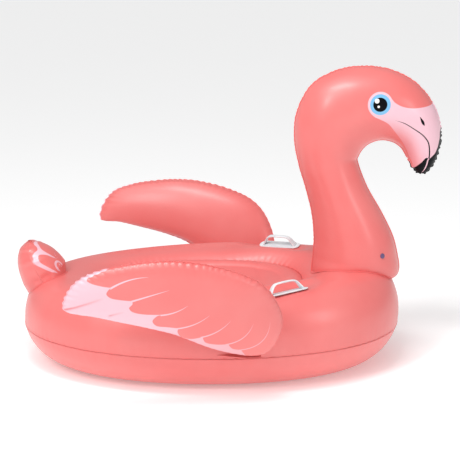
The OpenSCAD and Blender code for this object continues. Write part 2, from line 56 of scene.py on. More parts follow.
seamLow, seamHigh = cornersOf("hull_side_weld")
seatLow, seatHigh = cornersOf("seat_panel")
seatInset = 0.994  # share of the crease's outline that the seat's film reaches
weldReach = 0.005
hull = dict(
    x=(seamLow[0] + seamHigh[0]) / 2,
    a=(seamHigh[0] - seamLow[0]) / 2 - weldReach,
    b=(seamHigh[1] - seamLow[1]) / 2 - weldReach,
    square=2.1, seamZ=(seamLow[2] + seamHigh[2]) / 2,
    wideFront=0.175, wideRear=0.152, crestFront=0.334, crestRear=0.302,
    shoulder=0.126, flank=0.175, flat=0.002, crestSquare=2.2, deckPower=4.0,
)
seat = dict(
    x=(seatLow[0] + seatHigh[0]) / 2,
    a=(seatHigh[0] - seatLow[0]) / 2 / seatInset,
    b=(seatHigh[1] - seatLow[1]) / 2 / seatInset,
    square=3.0, crease=0.272, rise=0.015, dish=0.038,
    roll=0.009, rollWidth=0.10, floorZ=0.020, webPitch=0.190,
)
film = dict(thickness=0.0009)


# curves and grids
def signedPower(c, p):
    return np.sign(c) * np.abs(c) ** p


def fullTurn(count):
    return np.linspace(0, 2 * np.pi, count, endpoint=False)


def unit(v):
    return v / np.maximum(np.linalg.norm(v, axis=-1, keepdims=True), 1e-9)


# length run along a line of points, from its first one
def runOf(line):
    return np.concatenate([[0], np.cumsum(np.linalg.norm(np.diff(line, axis=0), axis=1))])


# points from numbers or arrays of different shapes
def pointsAt(x, y, z):
    return np.stack(np.broadcast_arrays(x, y, z), -1)


def mixed(a, b, k):
    return a + (b - a) * k


def eased(k):
    k = np.clip(k, 0, 1)
    return k * k * (3 - 2 * k)


# superellipse in plan: x = a cos^(2/n), y = b sin^(2/n)
def oval(a, b, n, t):
    return a * signedPower(np.cos(t), 2 / n), b * signedPower(np.sin(t), 2 / n)


# Catmull-Rom: the value at s along rows of numbers, s from 0 to the last row
def along(rows, s, closed=False):
    rows = np.asarray(rows, float)
    s = np.asarray(s, float)
    count = len(rows)
    i = np.floor(s).astype(int)
    if not closed:
        i = np.clip(i, 0, count - 2)
    k = (s - i)[..., None]
    pick = (lambda j: rows[j % count]) if closed else (lambda j: rows[np.clip(j, 0, count - 1)])
    p0, p1, p2, p3 = pick(i - 1), pick(i), pick(i + 1), pick(i + 2)
    return 0.5 * (2 * p1 + (p2 - p0) * k + (2 * p0 - 5 * p1 + 4 * p2 - p3) * k**2 + (3 * p1 - p0 - 3 * p2 + p3) * k**3)


# points of a curve resampled to equal steps of arc length
def evenly(points, count, closed=False):
    line = np.vstack([points, points[:1]]) if closed else points
    run = runOf(line)
    want = np.linspace(0, run[-1], count, endpoint=not closed)
    return np.stack([np.interp(want, run, line[:, k]) for k in range(line.shape[1])], 1)


# unit normals of a grid from the cross product of its two directions
def gridNormals(p, wrap):
    if wrap:
        du = np.roll(p, -1, 0) - np.roll(p, 1, 0)
    else:
        du = np.gradient(p, axis=0)
    return unit(np.cross(du, np.gradient(p, axis=1)))


# distance run along each row of a grid, from its first column
def runFromEdge(p):
    step = np.linalg.norm(np.diff(p, axis=1), axis=2)
    return np.concatenate([np.zeros((len(p), 1)), np.cumsum(step, 1)], 1)


# irregular puckers round a seam: a cosine whose phase and height wander, 0 in a valley, 1 on a ridge
def puckers(turn, count, seed):
    wander = 1.5 * np.sin(3 * turn + seed) + 1.1 * np.sin(7 * turn + 2.3 * seed) + 0.7 * np.sin(13 * turn + 4.1 * seed)
    height = 0.72 + 0.28 * np.sin(5 * turn + 1.7 * seed) * np.sin(11 * turn + 0.6 * seed)
    return 1 - height * (0.5 + 0.5 * np.cos(count * turn + wander))


# a grid of points becomes a mesh; a pole closes its first or last column to one point
def gridMesh(name, p, wrap=False, ring=False, poleFirst=False, poleLast=False, flip=False, uv=None, marks=None):
    n, m = p.shape[:2]
    verts = p.reshape(-1, 3)
    poles = []
    i = np.arange(n if wrap else n - 1)
    j = np.arange(m if ring else m - 1)
    a = i[:, None] * m + j[None]
    b = i[:, None] * m + (j[None] + 1) % m
    c = ((i[:, None] + 1) % n) * m + (j[None] + 1) % m
    d = ((i[:, None] + 1) % n) * m + j[None]
    faces = np.stack([a, b, c, d], -1).reshape(-1, 4)
    triangles = []
    for wanted, column, order in ((poleFirst, 0, 1), (poleLast, m - 1, -1)):
        if not wanted:
            continue
        k = len(verts)
        verts = np.vstack([verts, p[:, column].mean(0)])
        poles.append(column)
        one, two = i * m + column, ((i + 1) % n) * m + column
        fan = np.stack([np.full_like(one, k), one, two], -1)
        triangles.append(fan if order > 0 else fan[:, ::-1])
    tri = np.vstack(triangles) if triangles else np.zeros((0, 3), int)
    if flip:
        faces, tri = faces[:, ::-1], tri[:, ::-1]
    loops = np.concatenate([faces.ravel(), tri.ravel()]).astype(np.int32)
    starts = np.concatenate([np.arange(len(faces)) * 4, len(faces) * 4 + np.arange(len(tri)) * 3]).astype(np.int32)
    mesh = bpy.data.meshes.new(name)
    mesh.vertices.add(len(verts))
    mesh.vertices.foreach_set("co", verts.astype(np.float32).ravel())
    mesh.loops.add(len(loops))
    mesh.loops.foreach_set("vertex_index", loops)
    mesh.polygons.add(len(starts))
    mesh.polygons.foreach_set("loop_start", starts)
    mesh.polygons.foreach_set("use_smooth", np.ones(len(starts), bool))
    mesh.update(calc_edges=True)
    if uv is not None:
        allUv = np.vstack([uv.reshape(-1, 2)] + [uv[:, column].mean(0)[None] for column in poles])
        layer = mesh.uv_layers.new(name="film")
        layer.uv.foreach_set("vector", allUv[loops].astype(np.float32).ravel())
    for key, value in (marks or {}).items():
        full = np.concatenate([value.ravel()] + [[value[:, column].mean()] for column in poles])
        mesh.attributes.new(key, "FLOAT", "POINT").data.foreach_set("value", full.astype(np.float32))
    mesh.validate()
    piece = bpy.data.objects.new(name, mesh)
    bpy.context.scene.collection.objects.link(piece)
    return piece


# film gets its thickness inwards
def thicken(piece):
    wall = piece.modifiers.new("film", "SOLIDIFY")
    wall.thickness = film["thickness"]
    wall.offset = -1
    return piece


# signed distance from points to a closed outline, negative inside, by the crossing rule
def outlineDistance(q, outline):
    flat = q.reshape(-1, 2)
    best = np.full(len(flat), 1e9)
    inside = np.zeros(len(flat), bool)
    for p1, p2 in zip(outline, np.roll(outline, -1, 0)):
        edge = p2 - p1
        k = np.clip(((flat - p1) @ edge) / max(edge @ edge, 1e-12), 0, 1)
        best = np.minimum(best, np.linalg.norm(flat - p1 - k[:, None] * edge, axis=1))
        crosses = (p1[1] > flat[:, 1]) != (p2[1] > flat[:, 1])
        slope = (p2[0] - p1[0]) / (p2[1] - p1[1] if p2[1] != p1[1] else 1e-12)
        inside ^= crosses & (flat[:, 0] < slope * (flat[:, 1] - p1[1]) + p1[0])
    return (best * np.where(inside, -1, 1)).reshape(q.shape[:-1])


# signed distance across an open curve, and the share of its length reached, at each point
def lineDistance(q, line):
    flat = q.reshape(-1, 2)
    run = runOf(line)
    best = np.full(len(flat), 1e9)
    across, share = np.zeros(len(flat)), np.zeros(len(flat))
    for i in range(len(line) - 1):
        edge = line[i + 1] - line[i]
        size = math.hypot(*edge)
        k = np.clip(((flat - line[i]) @ edge) / size**2, 0, 1)
        off = flat - line[i] - k[:, None] * edge
        away = np.linalg.norm(off, axis=1)
        side = np.sign(edge[0] * off[:, 1] - edge[1] * off[:, 0])
        nearer = away < best
        best = np.where(nearer, away, best)
        across = np.where(nearer, away * side, across)
        share = np.where(nearer, (run[i] + k * size) / run[-1], share)
    return across.reshape(q.shape[:-1]), share.reshape(q.shape[:-1])


# shader kit: sockets that add up like numbers
def arithmetic(operation, swapped=False):
    if swapped:
        return lambda self, other: self.kit.calc(operation, other, self)
    return lambda self, other: self.kit.calc(operation, self, other)


class Value:
    def __init__(self, kit, socket):
        self.kit, self.socket = kit, socket

    __add__, __radd__ = arithmetic("ADD"), arithmetic("ADD", True)
    __sub__, __rsub__ = arithmetic("SUBTRACT"), arithmetic("SUBTRACT", True)
    __mul__, __rmul__ = arithmetic("MULTIPLY"), arithmetic("MULTIPLY", True)
    __truediv__, __pow__ = arithmetic("DIVIDE"), arithmetic("POWER")

    def __neg__(self):
        return self.kit.calc("MULTIPLY", self, -1.0)

    def __abs__(self):
        return self.kit.calc("ABSOLUTE", self)


class Finish:
    def __init__(self, name):
        self.material = bpy.data.materials.new(name)
        self.material.use_nodes = True
        self.tree = self.material.node_tree
        self.tree.nodes.clear()

    # one node: its type, its settings first, then the values or links of its sockets
    def node(self, kind, settings=None, sockets=None):
        made = self.tree.nodes.new(kind)
        for key, value in (settings or {}).items():
            setattr(made, key, value)
        for key, value in (sockets or {}).items():
            if isinstance(value, Value):
                self.tree.links.new(value.socket, made.inputs[key])
            else:
                made.inputs[key].default_value = value
        return made

    def value(self, made, output=0):
        return Value(self, made.outputs[output])

    def calc(self, operation, *parts):
        return self.value(self.node("ShaderNodeMath", {"operation": operation}, dict(enumerate(parts))))

    def larger(self, *parts):
        return self.calc("MAXIMUM", *parts)

    def smaller(self, *parts):
        return self.calc("MINIMUM", *parts)

    # 1 below the low edge, 0 above the high edge, eased between
    def below(self, value, low, high):
        return self.value(self.node("ShaderNodeMapRange", {"interpolation_type": "SMOOTHSTEP"},
                                    {0: value, 1: low, 2: high, 3: 1.0, 4: 0.0}))

    # 1 inside a signed distance of 0, with a soft edge
    def within(self, distance, soft=0.0007):
        return self.below(distance, -soft, soft)

    def bump(self, strength, height):
        return self.value(self.node("ShaderNodeBump", None, {"Strength": strength, "Distance": 1.0, "Height": height}))

    def colour(self, factor, first, second):
        return self.value(self.node("ShaderNodeMix", {"data_type": "RGBA"}, {0: factor, 6: first, 7: second}), 2)

    def place(self):
        return self.value(self.node("ShaderNodeTexCoord"), 3)

    def split(self, vector):
        made = self.node("ShaderNodeSeparateXYZ", None, {0: vector})
        return [self.value(made, k) for k in range(3)]

    def filmUv(self):
        return self.split(self.value(self.node("ShaderNodeUVMap", {"uv_map": "film"})))[:2]

    def mark(self, name):
        return self.value(self.node("ShaderNodeAttribute", {"attribute_name": name}), 2)

    def noise(self, scale, detail=2.0, vector=None):
        sockets = {"Vector": vector or self.place(), "Scale": scale, "Detail": detail}
        return self.value(self.node("ShaderNodeTexNoise", None, sockets))

    def surface(self, fixed, links):
        shader = self.node("ShaderNodeBsdfPrincipled", None, {**fixed, **links})
        out = self.node("ShaderNodeOutputMaterial")
        self.tree.links.new(shader.outputs[0], out.inputs[0])
        return self.material


def colourOf(r, g, b):
    def linear(c):
        c = c / 255
        return c / 12.92 if c < 0.04045 else ((c + 0.055) / 1.055) ** 2.4
    return (linear(r), linear(g), linear(b), 1.0)


coral = colourOf(234, 124, 121)
# a deeper coral, used for the random cloudy tone and for painted shade in creases, seams, welds and folds
coralCloudAndShade = colourOf(228, 84, 84)
palePink = colourOf(240, 193, 205)
blackPrint = colourOf(4, 7, 12)
bluePrint = colourOf(120, 186, 228)
whitePrint = colourOf(250, 250, 250)


# the film's look: cloudy tone, painted shade that deepens the colour in the creases, faint ripples and a satin gloss
filmLook = dict(cloudScale=5.0, cloudTint=0.22, rippleScale=34.0, rippleHeight=0.00035, grainScale=260.0,
                grainHeight=0.00004, rough=0.34, gloss=0.42, glossRough=0.25, blackMetal=0.75)


def filmFinish(name, paint=None, deep=0.55):
    kit = Finish(name)
    at = kit.place()
    cloud = kit.noise(filmLook["cloudScale"], 3.0, at)
    tone = kit.colour(kit.below(cloud, 0.35, 0.7) * filmLook["cloudTint"], coral, coralCloudAndShade)
    # painted shade: the crease mark, times deep, darkens the colour towards the deep coral where seams, creases, pucker
    # valleys and bases lie in shade
    tone = kit.colour(kit.mark("crease") * deep, tone, coralCloudAndShade)
    coat, matt = filmLook["gloss"], {}
    if paint:
        tone = paint(kit, tone)
        lightness = kit.value(kit.node("ShaderNodeRGBToBW", None, {0: tone}))
        dark = kit.below(lightness, 0.02, 0.12)
        coat = (1.0 - dark) * filmLook["gloss"]
        matt = {"Metallic": dark * filmLook["blackMetal"]}
    grain = kit.noise(filmLook["grainScale"], 2.0, at)
    ripple = kit.noise(filmLook["rippleScale"], 3.0, at)
    rough = filmLook["rough"] + 0.10 * kit.noise(11.0, 2.0, at) + 0.05 * grain
    lift = ripple * filmLook["rippleHeight"] + grain * filmLook["grainHeight"]
    return kit.surface(
        {"IOR": 1.5, "Specular IOR Level": 0.5, "Coat Roughness": filmLook["glossRough"]},
        {"Base Color": tone, "Roughness": rough, "Coat Weight": coat, "Normal": kit.bump(0.55, lift), **matt})


def finished(piece, body, slot, material, *nodes):
    piece.data.materials.append(material)
    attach(piece, body)
    if nodes:
        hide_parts(*nodes)
    return piece


plainFilm = filmFinish("coralFilm")
innerFilm = filmFinish("innerFilm", deep=0.2)
# painted shade: the base rings' weld film is tinted deeper all over, on top of its crease mark
weldShadeFilm = filmFinish("weldShadeFilm", lambda kit, tone: kit.colour(0.12, tone, coralCloudAndShade), deep=0.3)


# hull form: each function takes arrays of station angle and of place along the section
def foreShare(t):
    return eased((signedPower(np.cos(t), 2 / hull["square"]) + 1) / 2)


def wideZ(t):
    return mixed(hull["wideRear"], hull["wideFront"], foreShare(t))


def crestZ(t):
    return mixed(hull["crestRear"], hull["crestFront"], foreShare(t))


def creaseZ(t):
    return seat["crease"] + seat["rise"] * np.sin(t) ** 2


# how far the widest line stands out past the side seam
def swell(t):
    return hull["flank"] * (1 - np.sqrt(1 - ((wideZ(t) - hull["seamZ"]) / wideZ(t)) ** 2))


def hullPoint(t, inset, z):
    x, y = oval(hull["a"] - inset, hull["b"] - inset, hull["square"], t)
    return pointsAt(hull["x"] + x, y, z)


def seatPoint(t, r, z):
    x, y = oval(seat["a"] * r, seat["b"] * r, seat["square"], t)
    return pointsAt(seat["x"] + x, y, z)


# flank: a quarter ellipse from the widest line down to the floor
def flankPoint(t, g):
    inset = -swell(t) + hull["flank"] * (1 - np.cos(g))
    return hullPoint(t, inset, np.maximum(wideZ(t) + (wideZ(t) + hull["flat"]) * np.sin(g), 0))


# shoulder: a superellipse from the widest line up to the crest
def shoulderPoint(t, f):
    inset = -swell(t) + hull["shoulder"] * (1 - np.cos(f))
    rise = (1 - np.cos(f) ** hull["crestSquare"]) ** (1 / hull["crestSquare"])
    return hullPoint(t, inset, wideZ(t) + (crestZ(t) - wideZ(t)) * rise)


# deck: a straight run in plan from the crest to the seat's crease, which drops late
def deckPoint(t, k):
    a = hullPoint(t, hull["shoulder"] - swell(t), 0)
    b = seatPoint(t, 1.0, 0)
    p = mixed(a, b, k[..., None])
    p[..., 2] = mixed(crestZ(t), creaseZ(t), k ** hull["deckPower"])
    return p


# height of the hull's top at any x and y: the inset is found by halving, between limits in metres
insetSearch = dict(low=-0.010, high=0.250, rounds=22)


def deckHeight(x, y):
    lo, hi = np.full(np.shape(x), insetSearch["low"]), np.full(np.shape(x), insetSearch["high"])
    for step in range(insetSearch["rounds"]):
        mid = (lo + hi) / 2
        inside = (np.abs(x - hull["x"]) / (hull["a"] - mid)) ** hull["square"] \
            + (np.abs(y) / (hull["b"] - mid)) ** hull["square"] < 1
        lo, hi = np.where(inside, mid, lo), np.where(inside, hi, mid)
    t = np.arctan2(signedPower(y / hull["b"], hull["square"] / 2),
                   signedPower((x - hull["x"]) / hull["a"], hull["square"] / 2))
    inset = lo + swell(t)
    c = np.clip(1 - inset / hull["shoulder"], 0, 1)
    shoulder = wideZ(t) + (crestZ(t) - wideZ(t)) * (1 - c ** hull["crestSquare"]) ** (1 / hull["crestSquare"])
    crest = hullPoint(t, hull["shoulder"] - swell(t), 0)
    edge = seatPoint(t, 1.0, 0)
    k = np.clip(np.hypot(x - crest[..., 0], y - crest[..., 1]) / np.linalg.norm((edge - crest)[..., :2], axis=-1), 0, 1)
    return np.where(inset < hull["shoulder"], shoulder, mixed(crestZ(t), creaseZ(t), k ** hull["deckPower"]))


# hull
hullSkin = dict(stations=620, sidePuckers=120, sideSeed=0.4, sideDepth=0.0016, sideReach=0.020, creasePuckers=74,
                creaseSeed=1.9, creaseDepth=0.0016, creaseReach=0.026, pinch=0.0012, pinchWidth=0.006, seamGap=0.0008)

# each handle's plate leans in to the seat and draws the film down with it
handle = dict(length=0.160, width=0.048, plate=0.0025, forward=0.248, y=0.308, turn=28, gap=0.0012,
              drop=0.0115, lean=0.24, fadeIn=0.042, fadeOut=0.016, fadeEnds=0.045, dipReach=0.055)


def handleDip(x, y):
    turn = math.radians(handle["turn"])
    dx, dy = x - hull["x"] - handle["forward"], np.abs(y) - handle["y"]
    lengthwise = dx * math.cos(turn) - dy * math.sin(turn)
    inwards = -dx * math.sin(turn) - dy * math.cos(turn)
    half = handle["width"] / 2
    past = np.maximum([inwards - half, -inwards - half, np.abs(lengthwise) - handle["length"] / 2], 0)
    fade = np.exp(-(past[0] / handle["fadeIn"]) ** 2 - (past[1] / handle["fadeOut"]) ** 2
                  - (past[2] / handle["fadeEnds"]) ** 2) * (1 - eased((inwards - handle["dipReach"]) / 0.035))
    return fade * (handle["drop"] + handle["lean"] * np.clip(inwards, -half, 0.05))


# how deep the side seam's puckers and its pinch draw the film in
def sideSink(t, fromSide):
    side = 1 - puckers(t, hullSkin["sidePuckers"], hullSkin["sideSeed"])
    return hullSkin["sideDepth"] * side * np.exp(-fromSide / hullSkin["sideReach"]) \
        + hullSkin["pinch"] * np.exp(-(fromSide / hullSkin["pinchWidth"]) ** 2)


# puckers round the seat's crease, strongest at its corners
def creaseRipple(t):
    ripple = 1 - puckers(t, hullSkin["creasePuckers"], hullSkin["creaseSeed"])
    return ripple * (0.55 + 0.45 * np.sin(2 * t) ** 2)


def hullTop():
    t = fullTurn(hullSkin["stations"])[:, None]
    seamAngle = np.arcsin((hull["seamZ"] + hullSkin["seamGap"] - wideZ(t)) / (wideZ(t) + hull["flat"]))
    low = seamAngle * (1 - np.linspace(0, 1, 8)[None] ** 1.3)
    f = np.linspace(0, np.pi / 2, 30)[None, 1:]
    k = 1 - (1 - np.linspace(0, 1, 30)[None, 1:]) ** 1.5
    p = np.concatenate([flankPoint(t, low), shoulderPoint(t, f), deckPoint(t, k)], 1)
    n = -gridNormals(p, True)
    fromSide = runFromEdge(p)
    fromCrease = fromSide[:, -1:] - fromSide
    sink = sideSink(t, fromSide) \
        + hullSkin["creaseDepth"] * creaseRipple(t) * np.exp(-fromCrease / hullSkin["creaseReach"])
    p = p - n * sink[..., None]
    p[..., 2] -= handleDip(p[..., 0], p[..., 1])
    # painted shade: darker colour by the side seam, along the seat's crease and in the puckers' valleys
    crease = np.exp(-fromSide / 0.004) * 0.2 + np.exp(-fromCrease / 0.008) * 0.8 + sink * 60
    return gridMesh("hullTop", p, wrap=True, flip=True, marks={"crease": np.clip(crease, 0, 1)})


def hullBottom():
    t = fullTurn(hullSkin["stations"])[:, None]
    top = np.arcsin((hull["seamZ"] - hullSkin["seamGap"] - wideZ(t)) / (wideZ(t) + hull["flat"]))
    low = -np.arcsin(wideZ(t) / (wideZ(t) + hull["flat"]))
    g = mixed(top, low, np.linspace(0, 1, 26)[None] ** 1.15)
    k = np.linspace(0, 1, 14)[None, 1:]
    rim = hullPoint(t, hull["flank"] * (1 + np.cos(low)) - swell(t), 0)
    under = mixed(rim, seatPoint(t, 1, 0), k[..., None])
    under[..., 2] = seat["floorZ"] * k**2
    p = np.concatenate([flankPoint(t, g), under], 1)
    fromSide = runFromEdge(p)
    fromEnd = fromSide[:, -1:] - fromSide
    sink = sideSink(t, fromSide)
    p = p - gridNormals(p, True) * sink[..., None]
    p[..., 2] = np.maximum(p[..., 2], 0)
    # painted shade: darker colour by the side seam, in the puckers' valleys and where the lower panel meets the floor
    # panel
    crease = np.exp(-fromSide / 0.005) * 0.2 + sink * 60 + np.exp(-fromEnd / 0.010)
    return gridMesh("hullBottom", p, wrap=True, marks={"crease": np.clip(crease, 0, 1)})


# a thin weld flange: a flat lip with a round edge, carried along a seam; its root lies inside the panels, and its
# reach is scalloped and its edge sways with the waves of the seam
# painted shade: each weld flange carries an even crease mark that darkens its colour like the shade along a seam
lip = dict(root=0.006, around=12, crease=0.3)


def flange(name, inner, outward, up, waves, size, closed=True, marks=None):
    angle = fullTurn(lip["around"])[None]
    across = 0.5 + 0.5 * signedPower(np.cos(angle), 0.6)
    height = signedPower(np.sin(angle), 0.8) * size["thick"] / 2
    tip = (size["reach"] - size["scallop"] * (1 - waves))[:, None] * across
    sway = size["sway"] * (waves[:, None] - 0.5) * across**2
    p = inner[:, None] + outward[:, None] * tip[..., None] + up[:, None] * (height + sway)[..., None]
    rows = {key: value[:, None] + 0 * angle for key, value in (marks or {}).items()}
    return gridMesh(name, p, wrap=closed, ring=True, marks={"crease": np.full(p.shape[:2], lip["crease"]), **rows})


hullLip = dict(stations=900, inset=0.004, reach=0.0066, scallop=0.0010, thick=0.0010, sway=0.0006)


def hullSeam():
    t = fullTurn(hullLip["stations"])
    waves = puckers(t, hullSkin["sidePuckers"], hullSkin["sideSeed"])
    edge = hullPoint(t, hullLip["inset"], hull["seamZ"])
    step = np.roll(edge, -1, 0) - np.roll(edge, 1, 0)
    outward = unit(pointsAt(step[:, 1], -step[:, 0], 0))
    up = np.tile([0.0, 0, 1], (len(t), 1))
    return flange("hullSeam", edge, outward, up, waves, hullLip)


finished(thicken(hullTop()), "float", "pink_film", plainFilm, "hull_upper_panel")
finished(thicken(hullBottom()), "float", "lower_film", plainFilm, "hull_lower_panel")
finished(hullSeam(), "float", "weld_film", plainFilm, "hull_side_weld")
print("hull made")


# seat: rises into a roll inside the crease, then dips to the middle, and is drawn down over the webs
seatFilm = dict(puckerDepth=0.0030, puckerReach=0.040, webDepth=0.0022, webWidth=0.018, floorSag=0.012)


def seatSkin():
    t = fullTurn(520)[:, None]
    r = (1 - np.linspace(0, 1, 60) ** 1.5)[None, :-1]
    base = seat["crease"] + seat["rise"] * np.sin(t) ** 2 * r**2 - seat["dish"] * (1 - r**2) ** 2
    roll = seat["roll"] * np.sin(np.pi * np.clip((1 - r) / (2 * seat["rollWidth"]), 0, 1)) ** 0.8
    p = seatPoint(t, r, base + roll)
    fromEdge = runFromEdge(p)
    fromWeb = (p[..., 0] - seat["x"] + seat["webPitch"] / 2) % seat["webPitch"] - seat["webPitch"] / 2
    web = np.exp(-(fromWeb / seatFilm["webWidth"]) ** 2)
    sink = seatFilm["puckerDepth"] * creaseRipple(t) * np.exp(-fromEdge / seatFilm["puckerReach"]) \
        + seatFilm["webDepth"] * web * eased((1 - r) / 0.25)
    p[..., 2] -= sink
    # painted shade: darker colour at the crease, in pucker valleys and over the webs, and towards the dish's middle
    crease = np.exp(-fromEdge / 0.010) + sink * 60 + 0.35 * (1 - r**2) ** 2
    return gridMesh("seatSkin", p, wrap=True, poleLast=True, flip=True, marks={"crease": np.clip(crease, 0, 1)})


def floorSkin():
    r = np.linspace(0.999, 0, 30)[None, :-1]
    p = seatPoint(fullTurn(300)[:, None], r, seat["floorZ"])
    web = np.abs(np.cos(np.pi * (p[..., 0] - seat["x"]) / seat["webPitch"])) ** 0.7
    p[..., 2] -= seatFilm["floorSag"] * (1 - web) * eased((1 - r) / 0.3)
    # painted shade: darker colour along the webs and at the floor panel's edge
    crease = np.clip(web**6 * 0.6 + np.exp(-runFromEdge(p) / 0.012), 0, 1)
    return gridMesh("floorSkin", p, wrap=True, poleLast=True, marks={"crease": crease})


finished(thicken(seatSkin()), "float", "pink_film", plainFilm, "seat_panel")
finished(thicken(floorSkin()), "float", "lower_film", plainFilm, "floor_panel")
for name in ("seat_ring_wall", "seat_cross_webs"):
    frame["nodes"][name].data.materials.clear()
    frame["nodes"][name].data.materials.append(innerFilm)
print("seat made")


# neck and head
neck = dict(midX=hull["x"] + 0.487, baseL=0.274, baseW=0.240, point=1.12, tipLength=0.006, tipRows=9, belly=0.34,
            rows=480, turns=66, lowerRows=14, depth=0.0030, reach=0.012, parting=0.0004, sunk=0.001)
# sections up the neck and over the head: back edge x, z, throat edge x, z, half width, in mm
neckSections = np.array([
    [300, 368, 591, 350, 121], [302, 430, 572, 425, 115], [293, 515, 530, 512, 104],
    [270, 605, 478, 602, 94], [246, 685, 444, 688, 90], [231, 770, 447, 712, 93],
    [238, 860, 458, 732, 98], [284, 950, 476, 750, 101], [366, 1000, 500, 762, 101],
    [460, 1015, 524, 767, 98], [556, 1001, 546, 765, 93], [640, 955, 570, 757, 84],
    [700, 880, 592, 741, 71], [725, 800, 607, 719, 56], [722, 732, 617, 698, 42],
    [702, 678, 627, 676, 27], [680, 653, 646, 655, 12]]) / 1000
neckEnd = len(neckSections) - 1


# stations whose steps follow the length of the neck's middle line and of its back
def neckStations(count):
    s = np.linspace(0, neckEnd, 4000)
    v = along(neckSections, s)
    run = (runOf((v[:, :2] + v[:, 2:4]) / 2) + runOf(v[:, :2])) / 2
    return np.interp(np.linspace(0, run[-1], count), run, s)


# puckers of the centre seam, by the run along it: small up the neck, strong round the beak's tip
def neckPuckers(edge, stations, which):
    start = 0.05 if which else 0.22 + 0.34 * eased((stations - 5) / 3)
    strength = start + 1.0 * eased((stations - (13 if which else 12.3)) / 1.2)
    return (1 - puckers(runOf(edge) * 2 * np.pi / 0.34, 19, 0.7 + which)) * strength


# rounded end of a skin: its last row closes over a cap of the given height; it stops just short of the cap's pole
def rounded(row, ahead, height, rows):
    h = np.linspace(0, np.pi / 2 * 0.995, rows)[1:, None, None]
    middle = row.mean(0) * np.array([1, 0, 1])
    return middle + (row - middle) * np.cos(h) + ahead * height * np.sin(h)


# half of the neck: an ellipse a little pointed at its two seams, from the base ring to the beak's tip
def neckGrid(side):
    q = np.linspace(0, np.pi, neck["turns"])[None]
    q = q - 0.12 * np.sin(2 * q)
    s = neckStations(neck["rows"])[:, None]
    v = along(neckSections, s[:, 0])
    back, throat, half = v[:, None, 0:2], v[:, None, 2:4], v[:, None, 4]
    xz = (back + throat) / 2 + (back - throat) / 2 * np.cos(q)[..., None]
    p = np.stack([xz[..., 0], side * (neck["parting"] + half * np.sin(q) ** neck["point"]), xz[..., 1]], -1)
    # base ring on the hull's deck, and lower rows that leave it outwards and meet the first section
    bx = neck["midX"] - neck["baseL"] / 2 * np.cos(q[0])
    by = neck["baseW"] / 2 * np.sin(q[0])
    ring = pointsAt(bx, side * (neck["parting"] + by), deckHeight(bx, by) - neck["sunk"])
    k = np.linspace(0, 1, neck["lowerRows"])[:-1, None, None]
    away = unit((ring - np.array([neck["midX"], 0, 0])) * np.array([1, 1, 0]))
    span = np.linalg.norm(p[0] - ring, axis=1)[:, None]
    front = eased((ring[:, :1] - neck["midX"]) / (neck["baseL"] / 2))
    leave = ring + away * span * (0.04 + neck["belly"] * front) + np.array([0, 0, 1]) * span * mixed(0.3, 0.08, front)
    arrive = p[0] - unit(p[1] - p[0]) * span * 0.42
    lower = ring * (1 - k) ** 3 + 3 * leave * k * (1 - k) ** 2 + 3 * arrive * k**2 * (1 - k) + p[0:1] * k**3
    ahead = unit(p[-1].mean(0) - p[-3].mean(0)) * np.array([1, 0, 1])
    tip = rounded(p[-1], ahead, neck["tipLength"], neck["tipRows"])
    stations = np.concatenate([np.zeros(len(lower)), s[:, 0], np.full(len(tip), neckEnd)])
    return np.concatenate([lower, p, tip], 0), stations


# smooth closed outlines on the side of the head, x and z in mm
beakOutline = [(505, 935), (535, 928), (546, 918), (558, 905), (580, 893), (609, 886), (634, 885), (666, 887),
               (700, 893), (770, 910), (800, 700), (720, 600), (600, 600), (631, 671), (617, 714), (600, 751),
               (580, 781), (557, 811), (536, 835), (507, 851), (486, 862), (474, 885)]
tipOutline = [(770, 815), (724, 808), (718, 777), (713, 750), (705, 728), (695, 716), (684, 708), (672, 711),
              (660, 696), (648, 684), (633, 671), (605, 662), (600, 600), (760, 600)]
mouthLine = [(557, 847), (590, 836), (623, 816), (655, 793), (675, 768), (682, 740), (683, 713), (679, 700),
             (677, 686), (671, 668), (662, 652)]


def smoothOutline(points, steps, closed=True):
    points = np.array(points) / 1000
    count = len(points) if closed else len(points) - 1
    return along(points, np.linspace(0, count, count * steps, endpoint=not closed), closed)


def neckHalf(side):
    grid, stations = neckGrid(side)
    n = gridNormals(grid, False)
    n = n * np.sign((n[120, 30, 1]) * side)
    fromBack = runFromEdge(grid)
    fromThroat = fromBack[:, -1:] - fromBack
    sink = neck["depth"] * (neckPuckers(grid[:, 0], stations, 0)[:, None] * np.exp(-fromBack / neck["reach"])
                            + neckPuckers(grid[:, -1], stations, 1)[:, None] * np.exp(-fromThroat / neck["reach"]))
    base = np.exp(-np.arange(len(grid))[:, None] / 5.0)
    grid = grid - n * sink[..., None]
    flat = grid[..., [0, 2]]
    across, share = lineDistance(flat, smoothOutline(mouthLine, 6, False))
    # painted shade: the crease mark darkens the puckers' valleys and the neck's lowest rows by the deck
    marks = {"crease": np.clip(sink * 110 + base * 0.5, 0, 1),
             "beak": outlineDistance(flat, smoothOutline(beakOutline, 4)),
             "tip": outlineDistance(flat, smoothOutline(tipOutline, 4)),
             "mouthAcross": across, "mouthAlong": share, "mouthAway": np.abs(across)}
    grid[..., 1] = side * np.maximum(side * grid[..., 1], 0.0002)
    return gridMesh("neckRight" if side < 0 else "neckLeft", grid, flip=side > 0, marks=marks)


# printed face: pale beak with an eye, a mouth line, a nostril and a black tip; discs are x, z and radius
headPrint = dict(pale=(0.508, 0.900, 0.042), nostril=((0.6385, 0.8640), (0.022, -0.040)), nostrilWidth=0.036,
                 mouthWidth=0.0010, mouthGrowth=0.0019, mouthEnd=0.785, paleWidth=0.0021, paleStart=0.770, blend=0.010,
                 discs=[((0.508, 0.900, 0.0345), bluePrint), ((0.5075, 0.900, 0.0235), blackPrint),
                        ((0.4965, 0.9125, 0.0078), whitePrint), ((0.5020, 0.8935, 0.0040), whitePrint)])


